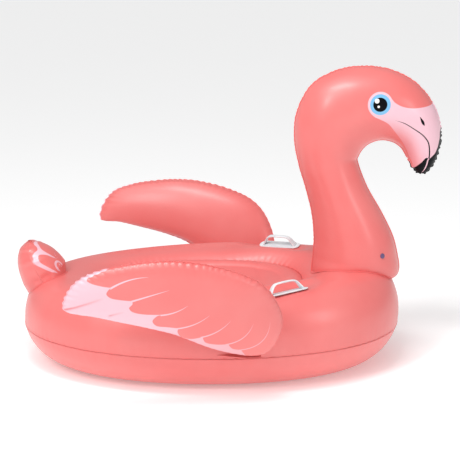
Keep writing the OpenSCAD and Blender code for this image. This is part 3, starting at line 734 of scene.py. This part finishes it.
def paintHead(kit, tone):
    x, _, z = kit.split(kit.place())
    beak, across, share = [kit.mark(name) for name in ("beak", "mouthAcross", "mouthAlong")]

    def disc(place):
        away = kit.calc("SQRT", (x - place[0]) * (x - place[0]) + (z - place[1]) * (z - place[1]))
        return kit.within(away - place[2], 0.0006)

    blush = kit.below(z, 0.780, 0.870) * kit.below(-beak, 0.000, 0.060) * 0.62
    pale = kit.colour(blush, palePink, coral)
    tone = kit.colour(kit.larger(kit.within(beak), disc(headPrint["pale"])), tone, pale)
    for place, tint in headPrint["discs"]:
        tone = kit.colour(disc(place), tone, tint)
    # nostril: an almond about a line
    (startX, startZ), (dx, dz) = headPrint["nostril"]
    size = math.hypot(dx, dz)
    run = ((x - startX) * dx + (z - startZ) * dz) / size**2
    off = abs(((x - startX) * dz - (z - startZ) * dx) / size)
    width = kit.larger(run * (1.0 - run), 0.0) * kit.larger(run, 0.0) * headPrint["nostrilWidth"]
    tone = kit.colour(kit.below(off - width, -0.0012, -0.0004), tone, blackPrint)
    tone = kit.colour(kit.within(kit.mark("tip")), tone, blackPrint)
    # mouth: black and growing to the tip, then a pale line through the black
    near = kit.below(kit.mark("mouthAway"), 0.005, 0.006)
    stop, start, blend = headPrint["mouthEnd"], headPrint["paleStart"], headPrint["blend"]
    black = kit.smaller(share * 8.0, 1.0) * kit.below(share, stop - blend, stop) \
        * (headPrint["mouthWidth"] + headPrint["mouthGrowth"] * share)
    drawn = kit.within(abs(across) - black, 0.0004) * kit.below(-share, -0.012, 0.0) * near
    tone = kit.colour(drawn, tone, blackPrint)
    pinkLine = kit.below(-share, -start - blend, -start) * kit.smaller((1.0 - share) * 12.0, 1.0) \
        * headPrint["paleWidth"]
    onTip = kit.within(abs(across) - pinkLine, 0.0004) * kit.below(-share, -0.775, -0.765) * near
    return kit.colour(onTip, tone, palePink)


headFilm = filmFinish("headFilm", paintHead)
for side, label in ((-1, "right"), (1, "left")):
    finished(thicken(neckHalf(side)), "float", "pink_film", headFilm, "neck_" + label + "_panel")


# centre seam: the flange follows the panels' own edges up the back, over the beak's tip and down the throat
neckLip = dict(stations=1500, reach=0.0096, scallop=0.0046, thick=0.0011, sway=0.0010, tipValley=0.8)


def neckSeam():
    grid, stations = neckGrid(-1)
    line = np.vstack([grid[:, 0], grid[-1, 1:-1], grid[::-1, -1]])[:, [0, 2]]
    tipRow = np.full(neck["turns"] - 2, neckLip["tipValley"])
    valley = np.concatenate([neckPuckers(grid[:, 0], stations, 0), tipRow,
                             neckPuckers(grid[:, -1], stations, 1)[::-1]])
    run = runOf(line)
    want = np.linspace(0, run[-1], neckLip["stations"])
    line = np.stack([np.interp(want, run, line[:, k]) for k in range(2)], 1)
    waves = 1 - np.interp(want, run, valley)
    step = np.gradient(line, axis=0)
    outward = unit(pointsAt(-step[:, 1], 0, step[:, 0]))
    inner = pointsAt(line[:, 0], 0, line[:, 1]) - outward * lip["root"]
    up = np.tile([0.0, 1, 0], (len(line), 1))
    return flange("neckSeam", inner, outward, up, waves, neckLip, closed=False)


def paintSeam(kit, tone):
    x, _, z = kit.split(kit.place())
    front = kit.below(-x, -0.622, -0.618)
    pale = front * kit.below(z, 0.893, 0.897) * kit.below(-x, -0.640, -0.632)
    tone = kit.colour(pale, tone, palePink)
    return kit.colour(front * kit.below(z, 0.806, 0.809), tone, blackPrint)


seamFilm = filmFinish("seamFilm", paintSeam, deep=0.3)
finished(neckSeam(), "float", "weld_film", seamFilm, "neck_centre_weld")


# weld ring between a base and the hull: a soft rounded strip that follows the deck
def baseRing(name, base, widthIn, widthOut, count, seed):
    t = fullTurn(360)
    ring = puckers(t, count, seed)
    angle = fullTurn(14)[None]
    reach = mixed(-widthIn, widthOut, 0.5 + 0.5 * np.cos(angle)) - 0.0016 * (1 - ring)[:, None]
    x = base["midX"] + (base["baseL"] / 2 + reach) * np.cos(t)[:, None]
    y = (base["baseW"] / 2 + reach) * np.sin(t)[:, None]
    z = deckHeight(x, y) + 0.0008 + 0.0012 * np.sin(angle)
    # painted shade: an even crease mark of 0.6 darkens the whole ring
    return gridMesh(name, np.stack([x, y, z], -1), wrap=True, ring=True,
                    marks={"crease": np.full(x.shape, 0.6)})


finished(baseRing("neckBaseRing", neck, 0.004, 0.007, 60, 0.9), "float", "weld_film", weldShadeFilm, "neck_base_weld")
print("neck made")


# tail
tail = dict(midX=hull["x"] - 0.569, baseL=0.130, baseW=0.180, point=1.02, rows=90, turns=72, lowerRows=14, tipRows=7,
            tipHeight=0.003, ahead=np.array([-0.25, 0, 0.97]), puckers=18, seed=0.5, depth=0.0085, reach=0.028,
            sunk=0.001)
# sections up the tail: front edge x, z, rear edge x, z, half width, in mm
tailSections = np.array([
    [-562, 338, -706, 262, 92], [-583, 363, -720, 313, 92], [-610, 386, -722, 353, 81],
    [-643, 403, -714, 384, 57], [-662, 410, -699, 400, 34], [-672, 412, -689, 408, 16]]) / 1000
tailEnd = len(tailSections) - 1


# printed loops on the tail's front, from its middle line and from its first section, in mm
tailLoops = [
    [(3, 124), (12, 128), (28, 119), (41, 103), (52, 92), (64, 88), (74, 79), (82, 65), (88, 50), (90, 34), (86, 17),
     (76, -2), (62, -22), (64, -16), (72, 3), (80, 20), (84, 36), (83, 50), (78, 61), (71, 70), (64, 69), (56, 59),
     (50, 46), (40, 31), (37, 29), (43, 47), (46, 65), (43, 83), (31, 99), (16, 112), (4, 117)],
    [(32, -2), (33, 13), (42, 23), (54, 23), (61, 16), (63, 4), (61, -7), (50, -20), (52, -14), (56, -3), (57, 7),
     (53, 14), (45, 16), (38, 10), (36, -2)],
    [(16, 47), (24, 40), (30, 27), (31, 27), (27, 40), (18, 48)],
    [(43, 10), (42, 2), (38, -7), (39, -8), (44, 1), (46, 9)]]


def tailPrint(side, height):
    q = np.stack([side, height], -1)
    return np.minimum.reduce([outlineDistance(q, smoothOutline(loop, 6)) for loop in tailLoops])


def tailHalf(side):
    q = np.linspace(-np.pi / 2, np.pi / 2, tail["turns"])[None] + (0 if side > 0 else np.pi)
    v = along(tailSections, np.linspace(0, tailEnd, tail["rows"]))
    front, rear, half = v[:, None, 0:2], v[:, None, 2:4], v[:, None, 4]
    out = side * np.abs(np.cos(q)) ** tail["point"]
    xz = (front + rear) / 2 + (front - rear) / 2 * out[..., None]
    p = np.stack([xz[..., 0], half * np.sin(q), xz[..., 1]], -1)
    bx = tail["midX"] + tail["baseL"] / 2 * np.cos(q[0])
    by = tail["baseW"] / 2 * np.sin(q[0])
    ring = pointsAt(bx, by, deckHeight(bx, by) - tail["sunk"])
    lower = mixed(ring[None], p[0:1], np.linspace(0, 1, tail["lowerRows"])[:-1, None, None])
    grid = np.concatenate([lower, p, rounded(p[-1], tail["ahead"], tail["tipHeight"], tail["tipRows"])], 0)
    n = gridNormals(grid, False)
    fromSide = runFromEdge(grid)
    nearSide = np.minimum(fromSide, fromSide[:, -1:] - fromSide)
    ridge = 1 - puckers(np.linspace(0, 2.2, len(grid))[:, None], tail["puckers"], tail["seed"])
    sink = tail["depth"] * ridge * (np.exp(-nearSide / tail["reach"]) - np.exp(-nearSide / 0.006))
    fromMiddle = np.abs(grid[..., 1])
    outward = np.sign(((grid - grid.mean((0, 1))) * n).sum(-1).mean())
    grid = grid - n * outward * sink[..., None]
    height = runOf(grid[:, tail["turns"] // 2])
    height = (height - height[len(lower)])[:, None] + 0 * fromMiddle
    base = np.exp(-np.arange(len(grid))[:, None] / 4.0)
    # painted shade: the crease mark darkens the wrinkles' valleys and the tail's lowest rows by the deck
    marks = {"crease": np.clip(sink * 170 + base * 0.4, 0, 1)}
    if side > 0:
        marks["loops"] = tailPrint(fromMiddle, height)
    return gridMesh("tailFront" if side > 0 else "tailRear", grid, flip=outward < 0, marks=marks)


def paintTail(kit, tone):
    return kit.colour(kit.within(kit.mark("loops"), 0.0005), tone, palePink)


tailFilm = filmFinish("tailFilm", paintTail)
finished(thicken(tailHalf(1)), "float", "pink_film", tailFilm, "tail_front_panel")
finished(thicken(tailHalf(-1)), "float", "pink_film", plainFilm, "tail_rear_panel")


tailLip = dict(stations=120, reach=0.0066, scallop=0.0010, thick=0.0008, sway=0.0006)


def tailSeam():
    v = along(tailSections, np.linspace(0, tailEnd, tailLip["stations"]))
    mid = (v[:, 0:2] + v[:, 2:4]) / 2
    one = pointsAt(mid[:, 0], v[:, 4], mid[:, 1])
    turn = np.linspace(np.pi / 2, -np.pi / 2, 16)[1:-1, None]
    top = one[-1] * np.array([1, 0, 1]) + np.sin(turn) * one[-1] * np.array([0, 1, 0]) \
        + np.cos(turn) * tail["ahead"] * tail["tipHeight"]
    line = np.vstack([one, top, one[::-1] * np.array([1, -1, 1])])
    across = np.array([0.94, 0, 0.34])
    outward = unit(np.cross(across, np.gradient(line, axis=0)))
    outward = outward * np.sign(outward[0, 1])
    waves = puckers(np.linspace(0, 4.6, len(line)), tail["puckers"], tail["seed"])
    return flange("tailSeam", line - outward * lip["root"], outward, np.tile(across, (len(line), 1)), waves, tailLip,
                  closed=False)


finished(tailSeam(), "float", "weld_film", plainFilm, "tail_side_weld")
finished(baseRing("tailBaseRing", tail, 0.004, 0.006, 44, 2.1), "float", "weld_film", weldShadeFilm, "tail_base_weld")
print("tail made")


# wings, in the plane of the wing: x to the tip, y up the wing, z to the inner face
wing = dict(root=(0.023, 0.478, 0.156), rise=73, splay=5.5, pitch=-1.3, bulge=0.046, parting=0.0004,
            middle={-1: (0.120, 0.195), 1: (0.140, 0.222)}, points=480, rings=88, puckers=72, seed=0.8,
            depth=0.0040, reach=0.018, scallop=0.0042, foldWidth=0.0035,
            folds=((0.528, 0.208, 0.400, 0.264, 0.0032), (0.385, 0.195, 0.340, 0.213, 0.0016)))
# the left wing hangs a little narrower along its lower edge
wingOutlines = {
    -1: np.array([(-70, 2), (62, 36), (206, 108), (420, 176), (524, 214), (446, 330), (185, 365), (-57, 288),
                  (-147, 156), (-130, 45)]) / 1000,
    1: np.array([(-70, 2), (62, 56), (206, 141), (420, 198), (516, 218), (446, 330), (185, 362), (-57, 292),
                 (-149, 156), (-130, 45)]) / 1000}


def wingName(side, what):
    return ("right" if side < 0 else "left") + "Wing" + what


def wingEdge(side, count):
    outline = wingOutlines[side]
    return evenly(along(outline, np.linspace(0, len(outline), 1800, endpoint=False), True), count, True)


# scallops are strongest at the tip and the front, and least along the lower edge
def wingValleys(side, edge):
    strength = 0.30 + 0.45 * eased((edge[:, 1] - 0.2) / 0.15) + 0.65 * eased((edge[:, 0] - 0.38) / 0.12)
    return (1 - puckers(fullTurn(len(edge)), wing["puckers"], wing["seed"] + side)) * strength


# printed feathers of a wing in its own plane, in mm: each row is the rounded end of one coral feather, from the
# wing's upper edge to its lower one, and what is left of them towards the tip is pale
wingFeathers = [
    [(325, 380), (345, 362), (370, 354), (394, 345), (425, 333), (449, 320), (436, 311), (412, 305), (396, 302),
     (374, 300)],
    [(374, 300), (384, 294), (392, 278), (378, 264), (350, 258), (315, 254)],
    [(315, 254), (315, 242), (325, 228), (314, 212), (280, 203), (225, 201)],
    [(225, 201), (242, 195), (255, 174), (242, 152), (212, 148), (176, 144)],
    [(176, 144), (178, 124), (166, 98), (139, 92), (100, 107)],
    [(100, 107), (98, 92), (88, 77), (57, 71), (20, 73)],
    [(20, 73), (16, 62), (4, 49), (-20, 44)]]
wingClosing = [(-70, -60), (300, -60), (720, 150), (660, 420), (345, 430)]
# the pale lines above the feathers: start, a point on the way, end and half width
wingLines = [((0.378, 0.298), (0.323, 0.323), (0.262, 0.331), 0.0042),
             ((0.319, 0.252), (0.258, 0.272), (0.200, 0.289), 0.0042),
             ((0.229, 0.199), (0.185, 0.210), (0.145, 0.234), 0.0040),
             ((0.180, 0.142), (0.130, 0.159), (0.078, 0.196), 0.0040),
             ((0.104, 0.105), (0.056, 0.129), (0.013, 0.171), 0.0038),
             ((0.026, 0.072), (-0.018, 0.092), (-0.057, 0.152), 0.0036),
             ((-0.012, 0.043), (-0.068, 0.060), (-0.110, 0.148), 0.0034)]


def wingZone():
    rows = [along(np.array(row) / 1000, np.linspace(0, len(row) - 1, 12 * len(row))) for row in wingFeathers]
    return np.vstack(rows + [np.array(wingClosing) / 1000])


def turned(degrees, axis):
    return Matrix.Rotation(math.radians(degrees), 4, axis)


# points moved by a matrix that is made for the right side, and mirrored where the side is 1, the left
def placed(p, side, matrix):
    m = np.array(matrix)
    return (p @ m[:3, :3].T + m[:3, 3]) * np.array([1, -side, 1])


# from the wing's plane to the frame
def wingPlace(p, side):
    x, y, z = wing["root"]
    return placed(p, side, Matrix.Translation(Vector((x, -y, z))) @ turned(180 + wing["splay"], "Z")
                  @ turned(wing["rise"], "X") @ turned(wing["pitch"], "Z"))


# how far even pressure lifts a film held at an outline: the film's sag on a square net, relaxed till it rests
net = dict(cell=0.006, rounds=3500)


def pressed(outline):
    cell = net["cell"]
    low, high = outline.min(0) - 2 * cell, outline.max(0) + 2 * cell
    xs, ys = np.arange(low[0], high[0], cell), np.arange(low[1], high[1], cell)
    inside = outlineDistance(np.stack(np.meshgrid(xs, ys, indexing="ij"), -1), outline) < 0
    lift = np.zeros(inside.shape)
    for turn in range(net["rounds"]):
        spread = np.roll(lift, 1, 0) + np.roll(lift, -1, 0) + np.roll(lift, 1, 1) + np.roll(lift, -1, 1)
        lift = np.where(inside, spread / 4 + 0.001, 0)

    def at(q):
        i, j = (q[..., 0] - xs[0]) / cell, (q[..., 1] - ys[0]) / cell
        a, b = np.floor(i).astype(int), np.floor(j).astype(int)
        u, v = i - a, j - b
        return (lift[a, b] * (1 - u) * (1 - v) + lift[a + 1, b] * u * (1 - v)
                + lift[a, b + 1] * (1 - u) * v + lift[a + 1, b + 1] * u * v) / lift.max()

    return at


wingLift = {side: pressed(wingEdge(side, 240)) for side in (-1, 1)}


def wingPanel(side, face):
    edge = wingEdge(side, wing["points"])
    middle = np.array(wing["middle"][side])
    r = (1 - np.linspace(0, 1, wing["rings"] + 1) ** 1.35)[None, :-1]
    away = np.linalg.norm(edge - middle, axis=1)[:, None]
    valley = wingValleys(side, edge)[:, None]
    pull = 1 - valley * wing["scallop"] / away * r**6
    flat = middle + (edge - middle)[:, None] * (r * pull)[..., None]
    # the net is too coarse at the very edge, so the outer rows keep the share of the last good one
    share = wingLift[side](flat) / (1 - r**2 + 1e-6)
    lastGood = int(np.argmin(np.abs(r[0] - 0.93)))
    share[:, :lastGood] = share[:, lastGood:lastGood + 1]
    lift = mixed(wing["parting"], wing["bulge"], np.clip(share * (1 - r**2), 0, None) ** 0.55)
    p = np.concatenate([flat, (face * lift)[..., None]], -1)
    fromEdge = runFromEdge(p)
    sink = wing["depth"] * valley * (np.exp(-fromEdge / wing["reach"]) - np.exp(-fromEdge / 0.003))
    # folds at the tip: grooves about short lines, with a fold mark that paints shade along them
    fold = np.zeros(fromEdge.shape)
    for *ends, deep in wing["folds"]:
        across, share = lineDistance(flat, np.reshape(ends, (2, 2)))
        fold += deep * np.exp(-(across / wing["foldWidth"]) ** 2) * (1 - share) ** 0.7 * (share > 0)
    fold *= face < 0
    p[..., 2] -= face * np.clip(sink + fold, 0, None)
    p[..., 2] = face * np.maximum(face * p[..., 2], 0.0003)
    # painted shade: darker colour in the puckers' valleys and along the wing's edge
    marks = {"crease": np.clip(sink * 170 + 0.25 * np.exp(-fromEdge / 0.004), 0, 1)}
    if face < 0:
        marks["fold"] = np.clip(fold * 300, 0, 1)
        marks["zone"] = outlineDistance(flat, wingZone())
    return gridMesh(wingName(side, "Outer" if face < 0 else "Inner"), wingPlace(p, side), wrap=True, poleLast=True,
                    flip=(face < 0) == (side < 0), uv=flat, marks=marks)


def paintWing(kit, tone):
    u, v = kit.filmUv()

    # a line along a parabola through three points, which thins from the first to the last
    def line(first, way, last, width):
        (x1, y1), (x2, y2), (x3, y3) = first, way, last
        dx, dy = x3 - x1, y3 - y1
        size = math.hypot(dx, dy)
        wayShare = ((x2 - x1) * dx + (y2 - y1) * dy) / size**2
        wayOff = ((y2 - y1) * dx - (x2 - x1) * dy) / size
        share = ((u - x1) * dx + (v - y1) * dy) / size**2
        off = ((v - y1) * dx - (u - x1) * dy) / size - share * (1.0 - share) * (wayOff / (wayShare * (1 - wayShare)))
        half = kit.larger(1.0 - share, 0.0) ** 0.8 * width * 0.75
        return kit.within(abs(off) - half, 0.0005) * kit.below(-share, -0.01, 0.04) * kit.below(share, 0.97, 1.0)

    zone = kit.within(kit.mark("zone"))
    for values in wingLines:
        zone = kit.larger(zone, line(*values))
    tone = kit.colour(zone, tone, kit.colour(kit.below(u, -0.05, 0.30) * 0.38, palePink, coral))
    # painted shade: the fold mark darkens the colour in the tip's fold grooves
    return kit.colour(kit.mark("fold") * 0.9, tone, coralCloudAndShade)


# the weld's outer side alone takes the print
def paintWingWeld(kit, tone):
    return kit.colour(kit.within(kit.mark("zone")) * 0.85, tone, palePink)


wingFilm = filmFinish("wingFilm", paintWing)
wingWeldFilm = filmFinish("wingWeldFilm", paintWingWeld, deep=0.25)


wingLip = dict(stations=900, reach=0.0108, scallop=0.0048, thick=0.0011, sway=0.0016)


def wingSeam(side):
    edge = wingEdge(side, wingLip["stations"])
    waves = 1 - wingValleys(side, edge)
    outward = np.column_stack([unit(edge - np.array(wing["middle"][side])), np.zeros(len(edge))])
    inner = np.column_stack([edge, np.zeros(len(edge))]) - outward * lip["root"]
    start = wingPlace(inner, side)
    outward = wingPlace(inner + outward, side) - start
    up = wingPlace(inner + np.array([0, 0, 1.0]), side) - start
    return flange(wingName(side, "Seam"), start, outward, up, waves, wingLip,
                  marks={"zone": outlineDistance(edge, wingZone())})


# root strip: the doubled film from the hull's side to the wing's hinge line, thicker at both ends
rootStrip = dict(under=0.006, short=0.002, thick=0.0008, endThick=0.0010, taper=0.110, wave=0.0012)


def wingRoot(side):
    low, high = cornersOf(("right" if side < 0 else "left") + "_wing_root_weld")
    x = np.linspace(low[0], high[0], 90)[:, None]
    angle = fullTurn(20)[None]
    shareOut = 0.5 + 0.5 * signedPower(np.cos(angle), 0.5)
    edge = hull["b"] * (1 - (np.abs(x - hull["x"]) / hull["a"]) ** hull["square"]) ** (1 / hull["square"])
    inner = edge + swell(np.pi / 2) - rootStrip["under"]
    outer = max(abs(low[1]), abs(high[1])) - rootStrip["short"]
    y = mixed(inner, mixed(inner + 0.004, outer, eased((x - low[0]) / rootStrip["taper"])), shareOut)
    thick = rootStrip["thick"] + rootStrip["endThick"] * np.abs(shareOut - 0.5) * 2
    wave = rootStrip["wave"] * (puckers(x * 40, 1, 0.3) - 0.5) * np.sin(np.pi * shareOut)
    z = (low[2] + high[2]) / 2 + thick * signedPower(np.sin(angle), 0.6) + wave
    # painted shade: an even crease mark of 0.2 deepens the strip's colour
    return gridMesh(wingName(side, "Root"), pointsAt(x, side * y, z), ring=True, flip=side < 0,
                    marks={"crease": np.full(y.shape, 0.2)})


for side, label in ((-1, "right"), (1, "left")):
    body = label + "_wing"
    finished(thicken(wingPanel(side, -1)), body, "pink_film", wingFilm, body + "_outer_panel")
    finished(thicken(wingPanel(side, 1)), body, "pink_film", plainFilm, body + "_inner_panel")
    finished(wingSeam(side), body, "weld_film", wingWeldFilm, body + "_edge_weld")
    finished(wingRoot(side), "float", "weld_film", plainFilm, body + "_root_weld")
print("wings made")


# handles: a flexible oval plate and a band that rises from it
# the band's path: x along the plate, z above it, half width, half thickness, in mm
handlePath = np.array([(-64, 1.5, 16, 1.4), (-60, 5, 14, 3.4), (-51, 18, 11, 3.4), (-43, 28, 9.5, 3.2),
                       (-31, 34, 9, 3.0), (0, 35.5, 8.8, 3.0), (31, 34, 9, 3.0), (43, 28, 9.5, 3.2),
                       (51, 18, 11, 3.4), (60, 5, 14, 3.4), (64, 1.5, 16, 1.4)]) / 1000


def handlePlace(p, side):
    at = np.array([hull["x"] + handle["forward"], -handle["y"]])
    turn = math.radians(handle["turn"])
    reach = (handle["length"] - handle["width"]) / 2
    fore = np.array([math.cos(turn), math.sin(turn)]) * reach
    rear, middle, front = [float(deckHeight(*(at + fore * k)[:, None])[0]) for k in (-1, 0, 1)]
    pitch = math.atan((front - rear) / (2 * reach))
    return placed(p, side, Matrix.Translation(Vector((*at, middle - handle["drop"] + handle["gap"])))
                  @ turned(handle["turn"], "Z") @ Matrix.Rotation(-pitch, 4, "Y")
                  @ Matrix.Rotation(-math.atan(handle["lean"]), 4, "X"))


# plate: a stadium outline shrunk along a rounded section, with a raised rim
def handlePlate(side):
    t = fullTurn(160)[:, None]
    section = np.array([(0.6, -0.6), (0.96, -0.6), (1.0, -0.1), (1.0, 0.5), (0.985, 0.95), (0.955, 1.15),
                        (0.90, 1.12), (0.85, 0.85), (0.6, 0.8), (0.3, 0.8), (0.02, 0.8)])
    r, z = section[None, :, 0], section[None, :, 1] * handle["plate"]
    reach = (handle["length"] - handle["width"]) / 2
    half = handle["width"] / 2
    x = reach * np.clip(np.cos(t) * 3, -1, 1) * r + half * r * np.cos(t)
    y = half * r * signedPower(np.sin(t), 0.8)
    return gridMesh("plate", handlePlace(pointsAt(x, y, z), side), wrap=True, poleFirst=True, poleLast=True,
                    flip=side < 0)


def handleBand(side):
    v = along(handlePath, np.linspace(0, len(handlePath) - 1, 110))
    line = pointsAt(v[:, 0], 0, v[:, 1])
    up = unit(np.cross(np.gradient(line, axis=0), [0, -1.0, 0]))
    angle = fullTurn(28)[None]
    wide = signedPower(np.cos(angle), 0.7) * v[:, 2:3]
    tall = signedPower(np.sin(angle), 0.7) * v[:, 3:4]
    p = line[:, None] + wide[..., None] * np.array([0, 1.0, 0]) + up[:, None] * tall[..., None]
    return gridMesh("band", handlePlace(p, side), ring=True, flip=side < 0)


def joined(name, *pieces):
    bpy.ops.object.select_all(action="DESELECT")
    for piece in pieces:
        piece.select_set(True)
    bpy.context.view_layer.objects.active = pieces[0]
    bpy.ops.object.join()
    pieces[0].name = name
    return pieces[0]


def vinylFinish(name, colour, second, rough, grain):
    kit = Finish(name)
    at = kit.place()
    cloud = kit.noise(30.0, 3.0, at)
    tone = kit.colour(kit.below(cloud, 0.3, 0.7), colour, second)
    fine = kit.noise(420.0, 2.0, at)
    return kit.surface({"IOR": 1.48, "Coat Weight": 0.15, "Coat Roughness": 0.3},
                       {"Base Color": tone, "Roughness": rough + 0.1 * fine, "Normal": kit.bump(0.4, fine * grain)})


handleVinyl = vinylFinish("milkyVinyl", colourOf(236, 240, 242), colourOf(222, 229, 233), 0.36, 0.0001)
valveVinyl = vinylFinish("tintedVinyl", colourOf(112, 88, 132), colourOf(86, 72, 112), 0.30, 0.00008)
clearVinyl = vinylFinish("softVinyl", colourOf(240, 214, 220), colourOf(232, 200, 208), 0.35, 0.00008)

for side, label in ((-1, "right"), (1, "left")):
    piece = joined(label + "Handle", handlePlate(side), handleBand(side))
    finished(piece, "float", "handle_vinyl", handleVinyl, label + "_handle")
print("handles made")


# valves: lathed pieces along each valve's own axis, as radius from the stem's or the bore's and height from the film
valve = dict(
    stem=0.007, bore=0.004, turns=64,
    flapDrop=0.0231136,  # from the film's surface down to the middle of the flap, which lies under the stem
    stemSection=[("bore", 0, -22.2), ("stem", 2, -22.4), ("stem", 2, -21.1), ("stem", 0, -20.6), ("stem", 0, -1),
                 ("stem", 1.9, 0), ("stem", 1.7, 0.7), ("stem", 0.2, 1.1), ("stem", -0.8, 0.9), ("bore", 0.6, 0.9),
                 ("bore", 0, 0.3), ("bore", 0, -11), ("bore", 0, -22.2)],
    plugSection=[("bore", -3.9, -7), ("bore", -1, -7), ("bore", -0.3, -6.2), ("bore", -0.2, 1.1), ("stem", -1.2, 1.3),
                 ("stem", -0.6, 1.8), ("stem", -0.8, 2.6), ("stem", -2, 3), ("bore", -1, 2.9), ("bore", -1.4, 2.4),
                 ("bore", -3.9, 2.4)])


def lathed(name, section, at, axis):
    r, z = np.array([(valve[start] + more / 1000, height / 1000) for start, more, height in section]).T[:, None]
    t = fullTurn(valve["turns"])[:, None]
    side = unit(np.cross([0, 0, 1.0], axis))
    p = at + (r * np.cos(t))[..., None] * side + (r * np.sin(t))[..., None] * np.cross(axis, side) \
        + (z + 0 * t)[..., None] * axis
    closed = r[0, 0] < 0.002
    return gridMesh(name, p, wrap=True, poleFirst=closed, poleLast=closed)


slides = {joint["name"]: joint for joint in frame["record"]["behaviour"]["joints"]}
for label in ("neck", "hull"):
    axis = unit(np.array(slides[label + "_valve_stem_slide"]["axis"]))
    surface = sum(cornersOf(label + "_valve_flap")) / 2 + axis * valve["flapDrop"]
    for part in ("stem", "plug"):
        piece = lathed(label + part.capitalize(), valve[part + "Section"], surface, axis)
        finished(piece, label + "_valve_" + part, "valve_vinyl", valveVinyl, label + "_valve_" + part)
    for part in ("flange", "flap"):
        node = frame["nodes"][label + "_valve_" + part]
        node.data.materials.clear()
        node.data.materials.append(clearVinyl)
print("valves made")


# stage: floor, lights and camera
stage = dict(reach=32, floorZ=-0.0008, floorGlow=0.24, sun=0.90, sunAngle=60, sunAim=(0.35, 0.45, -1.0), world=0.40)


def floorFinish():
    kit = Finish("paleFloor")
    cloud = kit.noise(1.5)
    tone = kit.colour(cloud * 0.3, colourOf(250, 250, 250), colourOf(246, 247, 248))
    return kit.surface(
        {"Specular IOR Level": 0.1, "Emission Color": (1, 1, 1, 1), "Emission Strength": stage["floorGlow"]},
        {"Base Color": tone, "Roughness": 0.8 + 0.05 * cloud})


across = np.linspace(-stage["reach"], stage["reach"], 3)
floor = gridMesh("floor", pointsAt(across[:, None], across[None], stage["floorZ"]), flip=True)
floor.data.materials.append(floorFinish())


def lamp(name, kind, energy, towards, place=(0, 0, 0)):
    light = bpy.data.lights.new(name, kind)
    light.energy = energy
    made = bpy.data.objects.new(name, light)
    bpy.context.scene.collection.objects.link(made)
    made.location = place
    made.rotation_mode = "QUATERNION"
    made.rotation_quaternion = Vector(towards).to_track_quat("-Z", "Y")
    return light


# each soft light: place, what it is aimed at, size and power
for name, place, aim, size, power in (
        ("keyLight", (-1.9, -2.9, 2.9), (0, 0, 0.45), (0.6, 1.5), 40),
        ("topLight", (-0.5, -1.5, 3.6), (0, 0, 0.3), (1.5, 0.6), 44),
        ("sideLight", (2.9, -2.4, 1.6), (0.3, 0, 0.4), (0.6, 1.3), 15)):
    light = lamp(name, "AREA", power, Vector(aim) - Vector(place), place)
    light.shape = "RECTANGLE"
    light.size, light.size_y = size
lamp("evenLight", "SUN", stage["sun"], stage["sunAim"]).angle = math.radians(stage["sunAngle"])

world = bpy.data.worlds.new("studio")
bpy.context.scene.world = world
world.use_nodes = True
world.node_tree.nodes["Background"].inputs[0].default_value = (1, 1, 1, 1)
world.node_tree.nodes["Background"].inputs[1].default_value = stage["world"]
bpy.context.scene.view_settings.view_transform = "Standard"

view = dict(target=(0.011, 0.0, 0.45), distance=4.878, elevation=14.0, lens=110.8)
camera = bpy.data.objects.new("camera", bpy.data.cameras.new("camera"))
bpy.context.scene.collection.objects.link(camera)
camera.data.sensor_width = 36
camera.data.lens = view["lens"]
up = math.radians(view["elevation"])
back = Vector((0, -math.cos(up), math.sin(up)))
camera.location = Vector(view["target"]) + back * view["distance"]
camera.rotation_mode = "QUATERNION"
camera.rotation_quaternion = (-back).to_track_quat("-Z", "Y")
bpy.context.scene.camera = camera
print("stage made")
